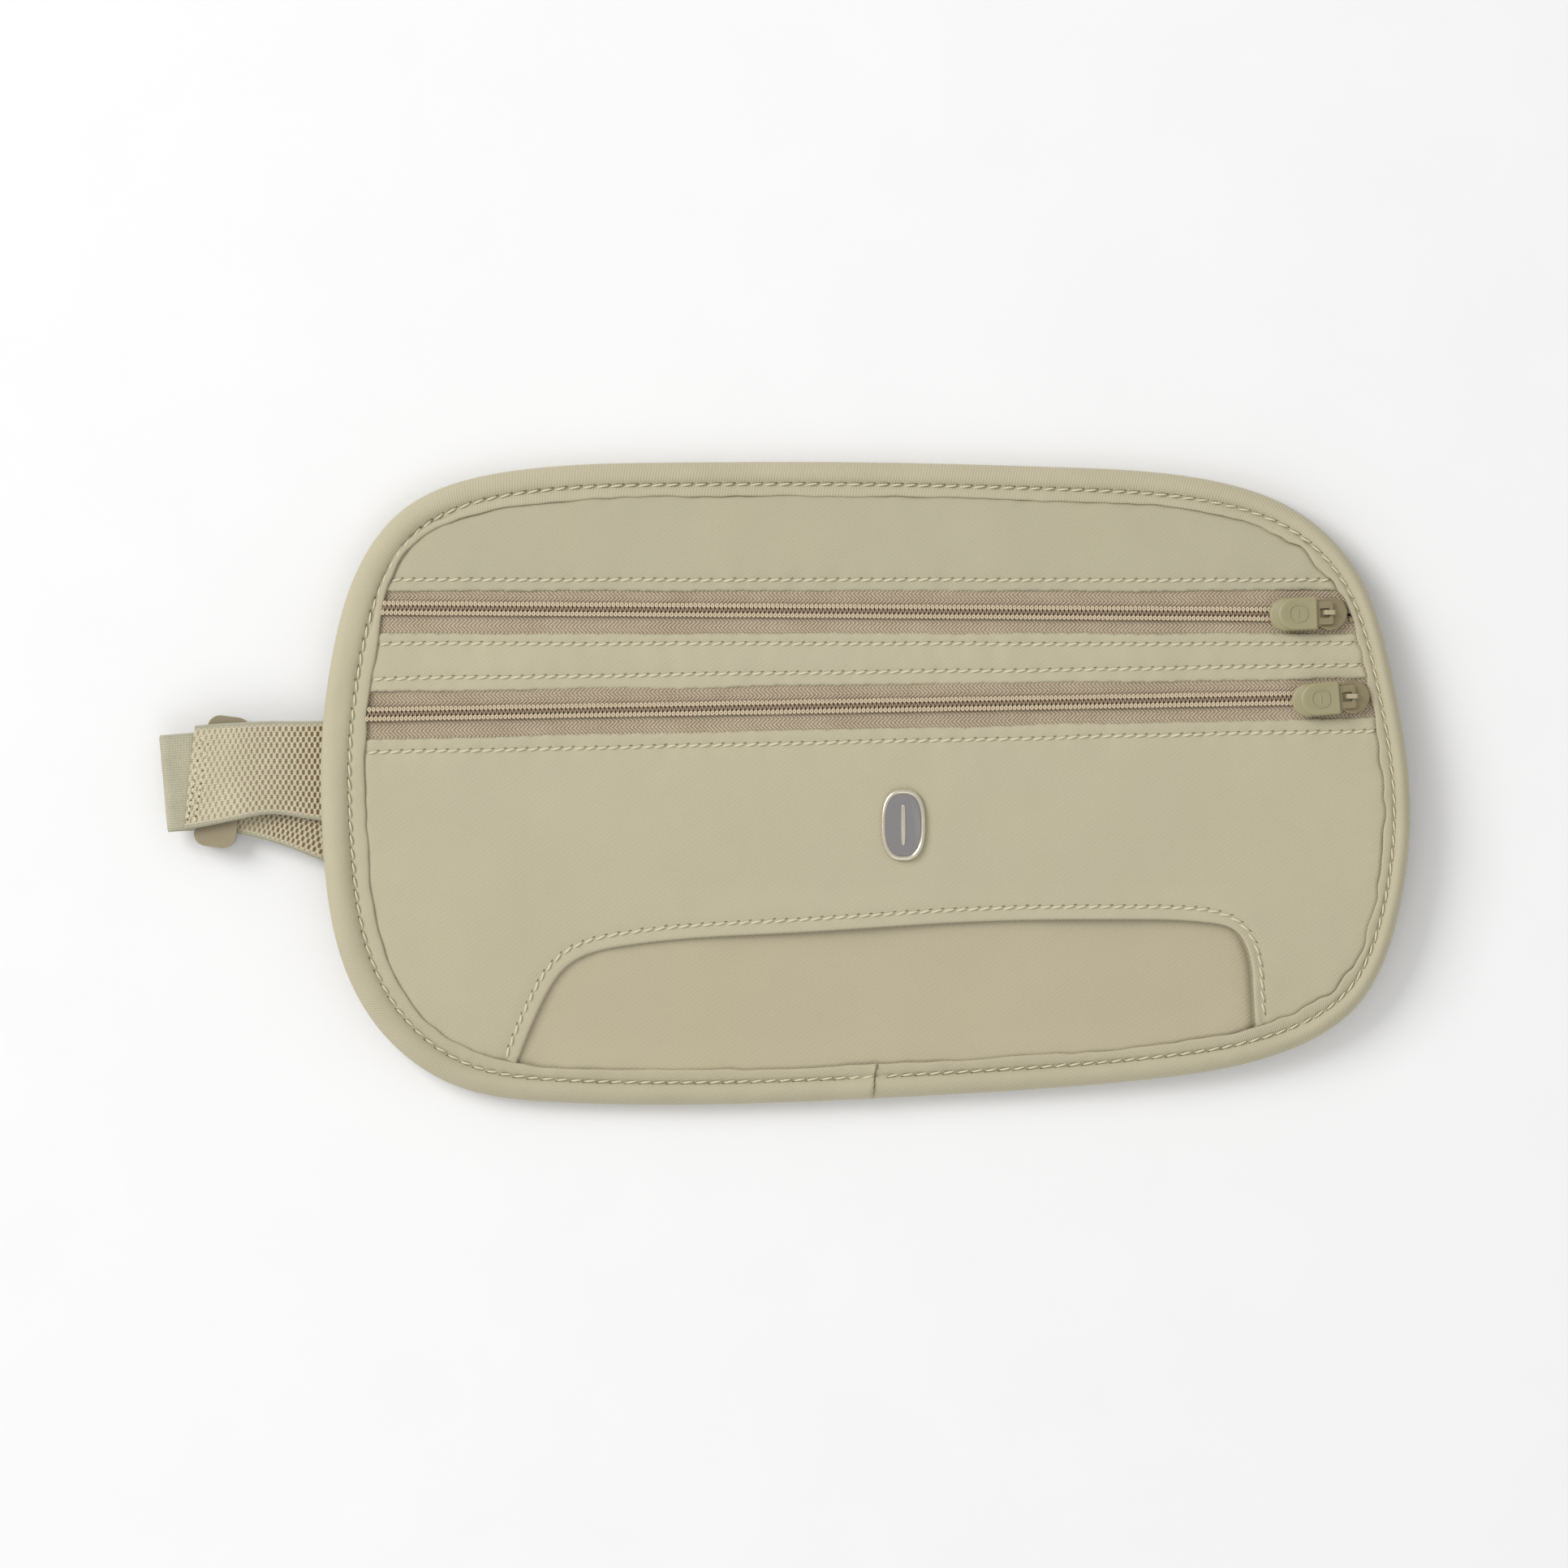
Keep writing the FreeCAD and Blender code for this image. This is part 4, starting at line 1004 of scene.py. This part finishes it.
def make_coil(name, part, side):
    """One row of the chain: a nylon loop for each tooth, and the chain stitch that holds them."""
    loops, stitches = Tubes(), Tubes()
    low, high = window(slanted(ZIPS[name], -122))
    low, high = low + 0.35, min(high, window(ZIPS[name][0])[1]) - 0.3
    up = Vector((0, 0, 1))
    shape = [(0.0, 1.75, 0.2), (0.0, 1.7, 0.6), (0.04, 1.3, 0.85), (0.12, 0.75, 0.95), (0.26, 0.1, 0.92),
             (0.38, -0.5, 0.66)]
    for k in range(int((high - low) / COIL_PITCH)):
        x = low + (k + (0.5 if side > 0 else 0.0)) * COIL_PITCH
        path = [zip_point(name, x + dx, side * dy, dz) for dx, dy, dz in shape]
        loops.add(path, [0.3 * MM, 0.34 * MM, 0.34 * MM, 0.31 * MM, 0.27 * MM, 0.2 * MM], up)
        centre = zip_point(name, x, side * (1.2 + 0.03 * wobble(k, side, 2.3, 1.0)), 1.14)
        stitches.ring(centre, Vector((0.34 * MM, 0.03 * MM, 0)), Vector((0, 0.44 * MM, 0)), 0.22 * MM)
    coil = loops.piece(f"{name}_coil_{part}_loops", COIL_PLASTIC, "zip_coil")
    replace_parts(coil, f"{name}_coil_{part}")
    stitches.piece(f"{name}_coil_{part}_stitches", COIL_THREAD, "zip_tape")


def arc(cx, cy, radius, start, end, count):
    """Points on an arc between two angles in degrees."""
    angles = [math.radians(start + (end - start) * i / (count - 1)) for i in range(count)]
    return [(cx + radius * math.cos(a), cy + radius * math.sin(a)) for a in angles]


def rounded_box(x_low, x_high, half, radius):
    """A rectangle with round corners."""
    corners = [(x_high - radius, half - radius, 0), (x_low + radius, half - radius, 90),
               (x_low + radius, radius - half, 180), (x_high - radius, radius - half, 270)]
    return [point for cx, cy, start in corners for point in arc(cx, cy, radius, start, start + 90, 6)]


def ring_plate(name, outer, inner, low, high, place, material, body, edge=0.1):
    """A flat plate with a hole; both outlines have the same number of points."""
    count = len(outer)
    vertices = []
    for z in (low, high):
        for loop in (outer, inner):
            vertices += [place @ Vector((x * MM, y * MM, z * MM)) for x, y in loop]
    faces = []
    for i in range(count):
        j = (i + 1) % count
        for a, b in ((0, 1), (2, 3), (0, 2), (1, 3)):
            faces.append((a * count + i, a * count + j, b * count + j, b * count + i))
    piece = add_object(name, vertices, faces, material, body)
    bevel(piece, edge, 3, 40)
    shade_flat_faces(piece)
    return piece


def make_slider(name):
    """Two plates joined by a post, flanges along the chain, and a bridge for the pull."""
    place = slider_place(name)
    body = name + "_slider"
    metal_part = (SLIDER_METAL, "slider_metal", body)
    rear, half, nose_radius = -4.8, 3.3, 4.3
    corner = math.degrees(math.asin(half / nose_radius))
    nose = arc(0, 0, nose_radius, -180 + corner, 180 - corner, 48)
    plate = extruded(name + "_slider_front", nose + [(rear, half), (rear, -half)], 1.6, 2.4, place,
                     *metal_part, 0.34, 25)
    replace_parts(plate, name + "_slider")
    back_nose = arc(0, 0, 4.0, -135, 135, 40)
    extruded(name + "_slider_back", back_nose + [(rear, 3.0), (rear, -3.0)], -1.4, -0.8, place,
             *metal_part, 0.2, 25)
    for part, side in (LOWER, UPPER):
        low, high = sorted((side * 2.65, side * half))
        extruded(f"{name}_slider_flange_{part}", rectangle(rear, 1.0, low, high), 0.4, 1.75, place,
                 *metal_part, 0.12)
    extruded(name + "_slider_post", rectangle(1.6, 3.8, -0.3, 0.3), -1.2, 2.0, place, *metal_part, 0.08)
    bridge = [(-2.1, 2.2), (-1.5, 2.2), (-1.4, 3.6), (-1.1, 4.15), (0.6, 4.15), (0.8, 3.6), (0.9, 2.2),
              (1.5, 2.2), (1.4, 3.8), (0.9, 4.8), (-1.4, 4.8), (-2.0, 3.8)]
    upright = place @ Matrix.Rotation(math.radians(90), 4, "X")
    # The bridge wears the lighter plating: a painted highlight.
    extruded(name + "_slider_bridge", bridge, -0.62, 0.62, upright, LIT_BRIDGE_METAL, "slider_metal", body,
             0.16)


def make_pull(name):
    """The metal neck that hangs on the bridge, and the grip moulded on it."""
    place = pull_place(name)
    body = name + "_pull"
    eye = rounded_box(-2.7, -0.3, 1.2, 0.3)
    neck = ring_plate(name + "_pull_neck", rounded_box(-8.0, 0.72, 3.0, 0.6), eye, -0.4, 0.4, place,
                      SLIDER_METAL, body, 0.14)
    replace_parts(neck, name + "_pull_link")
    make_grip(name, place, body)


GRIP_HALF = 4.3
GRIP_START = -3.3
GRIP_END = -15.6
NOSE_RADIUS = 4.1


def grip_outline(inset, nose=0.0):
    """A D: square at the hinge end, round at the far end; nose pulls the round end in."""
    half, start, end = GRIP_HALF - inset, GRIP_START - inset, GRIP_END + inset + nose
    corner = 0.5
    round_end = arc(end + NOSE_RADIUS, 0, half, 90, 270, 25)
    lower = arc(start - corner, corner - half, corner, -90, 0, 4)
    return round_end + lower + arc(start - corner, half - corner, corner, 0, 90, 4)


def make_grip(name, place, body):
    """A moulded grip: a full base, and a raised face that stops short of the round end."""
    steps = [(0.4, 0.0, -0.65), (0.1, 0.0, -0.5), (0.0, 0.0, -0.2), (0.0, 0.0, 0.2), (0.05, 0.1, 0.5),
             (0.12, 0.5, 0.72), (0.14, 1.9, 0.86), (0.14, 1.95, 1.0), (0.25, 2.05, 1.25), (0.5, 2.2, 1.37),
             (0.85, 2.45, 1.33), (1.2, 2.7, 1.27)]
    outlines = [(grip_outline(inset, nose), height) for inset, nose, height in steps]
    grip = lofted(name + "_grip", outlines, place, PULL_RUBBER, body)
    shade_flat_faces(grip)
    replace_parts(grip, name + "_pull_grip")
    middle = Matrix.Translation(Vector((-8.3 * MM, 0, 0)))
    ring_plate(name + "_grip_ring", oval(2.5, 2.4, 2.4, 40), oval(2.1, 2.0, 2.4, 40), 1.1, 1.46,
               place @ middle, PULL_RUBBER, body)
    extruded(name + "_grip_bar", rectangle(-0.2, 0.2, -1.1, 1.1), 1.1, 1.44, place @ middle,
             PULL_RUBBER, "pull_rubber", body, 0.1)


def make_stops(name):
    """The two stops that end the chain beside the closed slider."""
    place = slider_place(name)
    for part, side in (LOWER, UPPER):
        low, high = sorted((side * 0.7, side * 1.9))
        stop = extruded(f"{name}_stop_{part}", rectangle(4.8, 6.2, low, high), -0.1, 0.8, place,
                        SLIDER_METAL, "slider_metal", "pouch", 0.2)
    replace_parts(stop, name + "_top_stops")


def make_zips():
    for name in ZIPS:
        for part, side in (UPPER, LOWER):
            make_tape(name, part, side)
            make_coil(name, part, side)
        make_slider(name)
        make_pull(name)
        make_stops(name)


# --- Badge ---

def oval(half_width, half_height, power=2.6, count=72):
    """A superellipse."""
    result = []
    for i in range(count):
        angle = 2 * math.pi * i / count
        c, s = math.cos(angle), math.sin(angle)
        result.append((half_width * math.copysign(abs(c) ** (2 / power), c),
                       half_height * math.copysign(abs(s) ** (2 / power), s)))
    return result


def make_badge():
    """A plain oval badge with one upright bar, square to the front where it sits."""
    low, high = (Vector(corner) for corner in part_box("badge_plate"))
    centre = (low + high) / 2
    slope = math.asin(-centre.y / MM / ARCH_RADIUS)
    base = Vector((centre.x, centre.y, arch_height(centre.y / MM, FRONT_LEVEL + 0.1) * MM))
    place = Matrix.Translation(base) @ Matrix.Rotation(slope, 4, "X")
    steps = [(0.2, 0.0), (0.0, 0.15), (0.0, 0.7), (0.25, 1.1), (0.6, 1.28), (0.95, 1.15), (1.15, 0.85)]
    outlines = [(oval(5.75 - inset, 9.2 - inset), height) for inset, height in steps]
    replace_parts(lofted("badge_rim", outlines, place, BADGE_METAL), "badge_plate")
    face = extruded("badge_face", oval(4.55, 8.0), 0.8, 1.02, place, BADGE_ENAMEL, "badge_enamel",
                    "pouch", 0.12, 25)
    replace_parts(face, "badge_inlay")
    extruded("badge_bar", oval(0.55, 5.2, 4.0, 40), 0.9, 1.2, place, BADGE_METAL, "badge_metal",
             "pouch", 0.12, 25)


# --- Belt ---

class Path:
    """A strap's middle line, laid out as runs, turns in the strap's plane and bends out of it."""

    def __init__(self, x, y, height, heading, step=0.8):
        self.step = step
        turn = Matrix.Rotation(math.radians(heading), 3, "Z")
        self.along = turn @ Vector((1, 0, 0))
        self.across = turn @ Vector((0, 1, 0))
        self.point = Vector((x, y, height))
        self.length = 0.0
        self.frames = []
        self.mark()

    def mark(self):
        self.frames.append((self.point.copy(), self.along.copy(), self.across.copy(), self.length))

    def run(self, length):
        """Goes straight on."""
        count = max(1, round(length / self.step))
        for _ in range(count):
            self.point += self.along * (length / count)
            self.length += length / count
            self.mark()
        return self

    def curve(self, radius, degrees, axis, side):
        count = max(2, round(radius * math.radians(abs(degrees)) / min(self.step, radius * 0.25)))
        centre = self.point + side * radius
        turn = Matrix.Rotation(math.radians(degrees) / count, 3, axis)
        for _ in range(count):
            self.point = centre + turn @ (self.point - centre)
            self.along = turn @ self.along
            self.across = turn @ self.across
            self.length += radius * math.radians(abs(degrees)) / count
            self.mark()
        return self

    def turn(self, radius, degrees):
        """Turns left in the strap's plane, or right if negative."""
        side = self.across * math.copysign(1, degrees)
        return self.curve(radius, degrees, self.along.cross(self.across), side)

    def bend(self, radius, degrees):
        """Bends towards the strap's upper face, or away from it if negative."""
        upper = self.along.cross(self.across)
        return self.curve(radius, -degrees, self.across.copy(), upper * math.copysign(1, degrees))


def openness(across, open_share):
    """How open the weave is: not at all in the selvedges."""
    selvedge = STRAP_WIDTH / 2 - abs(across)
    return open_share * ramp(selvedge, 0.8, 1.3)


def slot(along, across):
    """1 in the middle of one of the staggered slots between the cords, 0 outside them."""
    row = math.floor(across / SLOT_LENGTH)
    a = (along / SLOT_PITCH + 0.5 * (row % 2)) % 1 - 0.5
    b = (across / SLOT_LENGTH) % 1 - 0.5
    return math.exp(-(a / 0.24) ** 4 - (b / 0.47) ** 6)


def strap(name, path, open_at, cells=42, pinch=lambda s: 0.0, skew=lambda s: 0.0, to_row=None):
    """A flat woven strap along a path. At a distance along it, open_at gives how open its weave is,
    pinch how much its left edge is drawn in, and skew how far its cross threads lean."""
    half = STRAP_WIDTH / 2
    offsets = list(np.linspace(-half, half, cells + 1))
    to_row = to_row or (lambda p: Vector(((p.x + POUCH_X) * MM, p.y * MM, p.z * MM)))
    vertices, places = [], []
    for point, along, across, distance in path.frames:
        up = along.cross(across)
        drawn = 1 - pinch(distance) / half
        lean = skew(distance)
        loose = 0.2 * wobble(distance, path.length, 11, 6.3)
        for face in (1, -1):
            for offset in offsets[::face]:
                rim = max(0.0, 1 - max(0.0, abs(offset) - (half - 0.7)) / 0.7)
                relief = openness(offset, open_at(distance)) * (0.32 * slot(distance, offset) - 0.06)
                height = STRAP_THICK / 2 * (0.5 + 0.5 * math.sqrt(rim)) - relief
                height += 0.06 * wobble(distance, offset, 3.0, 4.0)
                reach = offset * drawn if offset > 0 else offset
                spot = point + across * (reach + loose) + along * (lean * offset) + up * height * face
                vertices.append(to_row(spot))
                places.append((distance, offset, openness(offset, open_at(distance))))
    columns = 2 * len(offsets)
    faces = grid_faces(len(path.frames), columns, wrap_columns=True)
    last = len(vertices) - columns
    for i in range(len(offsets) - 1):
        faces.append((i, i + 1, columns - 2 - i, columns - 1 - i))
        faces.append((last + i, last + i + 1, last + columns - 2 - i, last + columns - 1 - i))
    piece = add_object(name, vertices, faces, ELASTIC)
    add_attribute(piece, "strap_place", places)
    return piece


def declare_strap(piece, node):
    """Hides the CAD part that a strap replaces."""
    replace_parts(piece, node)


def make_belt():
    """The four lengths of elastic: the long belt, the tab, the right strap and the end loop."""
    bar_radius = 1.45
    heading = math.radians(5)
    leg = 8.8
    belt = Path(-179 + leg * math.cos(heading), 0.2 + leg * math.sin(heading), 8.0, 185, 0.5)
    belt.run(leg).bend(1.5, -180).turn(78, 27).run(4.9).turn(60, -22)
    under = -28 + 0.3 - (bar_radius - 0.5) - belt.point.x
    belt.run(under).bend(bar_radius, 180).run(under).turn(60, -22).run(4.9).turn(78, 4.85)
    piece = strap("belt_elastic", belt, lambda s: 0.08 + 0.92 * ramp(s, 20, 44),
                  skew=lambda s: 0.28 * (1 - ramp(s, 0, 8)))
    declare_strap(piece, "strap_long")

    tab = Path(-126, 3.8, 7.1, 180, 0.25)
    tab.run(16).bend(40, 7).run(3).turn(140, 3.7).bend(40, -7).turn(140, 4.3)
    piece = strap("tab_elastic", tab, lambda s: 1.0 - 0.5 * ramp(s, 15, 40), 100,
                  pinch=lambda s: 2.3 * math.exp(-((s - 27) / 11) ** 2) - 1.3,
                  skew=lambda s: 0.26 * ramp(s, 26, 46))
    declare_strap(piece, "strap_left")

    right = Path(130, 4.0, 7.1, 180, 0.6)
    right.run(11).turn(80, 16.5).bend(80, -5).run(17.1).bend(80, 5).turn(80, -16.5)
    right.run(right.point.x - (30 - 0.3 + bar_radius - 0.5)).bend(bar_radius, -180).run(24)
    piece = strap("right_elastic", right, lambda s: 0.5)
    declare_strap(piece, "strap_right")

    glide_low, glide_high = (Vector(corner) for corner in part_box("tri_glide"))
    middle = (glide_low + glide_high) / 2
    turn = Matrix.Rotation(math.radians(-7.4), 4, "Z")
    to_row = Matrix.Translation(Vector((middle.x, middle.y, 0))) @ turn
    loop = Path(21, 0, 3.7, 180)
    reach = 1.6 + 0.3 - 0.95
    loop.run(21 + reach).bend(1.45, -180).run(21 + reach)
    piece = strap("strap_end_loop_cloth", loop, lambda s: 0.5, to_row=lambda p: to_row @ (p * MM))
    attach(piece, "adjuster")
    declare_strap(piece, "strap_end_loop")


def make_belt_stitches():
    """Zigzag stitches over the lapped ends: plump threads and painted shade marks at the needle slots take
    turns in two columns.
    """
    threads, shade_marks = Tubes(), Tubes()
    top = 9.4
    lean = 0.165
    pitch = 0.84
    for k in range(27):
        y = 12.7 - k * pitch
        middle = -171.7 + (y - 2) * lean
        side = 0.95 if k % 2 else -0.95
        stitch = (threads, middle - side, 0.56, 0.4)
        # The dark tubes at the needle slots are painted shade.
        for group, x, reach, radius in ((shade_marks, middle + side, 0.42, 0.37), stitch):
            path = [Vector((x + POUCH_X + lean * step, y + step, top)) * MM for step in (-reach, 0.0, reach)]
            group.add(path, [0.55 * radius * MM, radius * MM, 0.55 * radius * MM], Vector((0, 0, 1)))
    threads.piece("belt_seam_threads", SEAM_THREAD, "elastic")
    shade_marks.piece("belt_seam_holes", PAINTED_STITCH_SHADE, "elastic")


def make_hardware():
    """The moulded parts keep their CAD shapes and get rounded edges."""
    rounding = {"tri_glide": 1.4, "buckle_female": 0.6, "buckle_male": 0.6,
                "prong_upper": 0.4, "prong_lower": 0.4}
    for name, width in rounding.items():
        node = frame["nodes"][name]
        bevel(node, width, 4, 40)
        node.data.materials.clear()
        node.data.materials.append(BUCKLE_PLASTIC)


# --- Scene ---

def make_stage():
    """The plain pale floor."""
    bpy.ops.mesh.primitive_plane_add(size=6, location=(0, 0, -0.0002))
    floor = bpy.context.object
    floor.name = "floor"
    paper = Shader("studio_paper", 0.9)
    grain = paper.noise(30.0)
    paper.finish(paper.mix(grain, (0.9, 0.9, 0.9, 1), (0.93, 0.93, 0.93, 1)))
    floor.data.materials.append(paper.material)


def add_area(name, size, power, location):
    """A square lamp that points at the middle of the pouch."""
    lamp = bpy.data.lights.new(name, "AREA")
    lamp.size = size
    lamp.energy = power
    light = bpy.data.objects.new(name, lamp)
    light.location = location
    light.rotation_euler = (-Vector(location)).to_track_quat("-Z", "Y").to_euler()
    bpy.context.scene.collection.objects.link(light)


def make_lights():
    """Soft light from above the top edge, a little from the left."""
    bpy.context.scene.view_settings.view_transform = "Standard"
    world = bpy.data.worlds.new("studio")
    world.use_nodes = True
    background = world.node_tree.nodes["Background"]
    background.inputs["Color"].default_value = (1, 1, 1, 1)
    background.inputs["Strength"].default_value = 0.6
    bpy.context.scene.world = world
    add_area("key", 1.5, 45.0, (-1.8, 1.1, 1.85))
    add_area("fill", 2.0, 11.0, (-0.2, -2.0, 2.1))


def make_camera():
    """Straight down, with the whole object in the middle of the frame."""
    seen = 0.4034
    height = 2.6
    camera = bpy.data.cameras.new("camera")
    camera.sensor_width = 36.0
    camera.lens = 36.0 * (height - 0.012) / seen
    holder = bpy.data.objects.new("camera", camera)
    holder.location = (0, 0, height)
    bpy.context.scene.collection.objects.link(holder)
    bpy.context.scene.camera = holder


make_camera()
make_lights()
make_stage()
make_front()
make_inner_layers()
make_back()
make_binding()
make_stitches()
make_zips()
make_badge()
make_belt()
make_belt_stitches()
make_hardware()
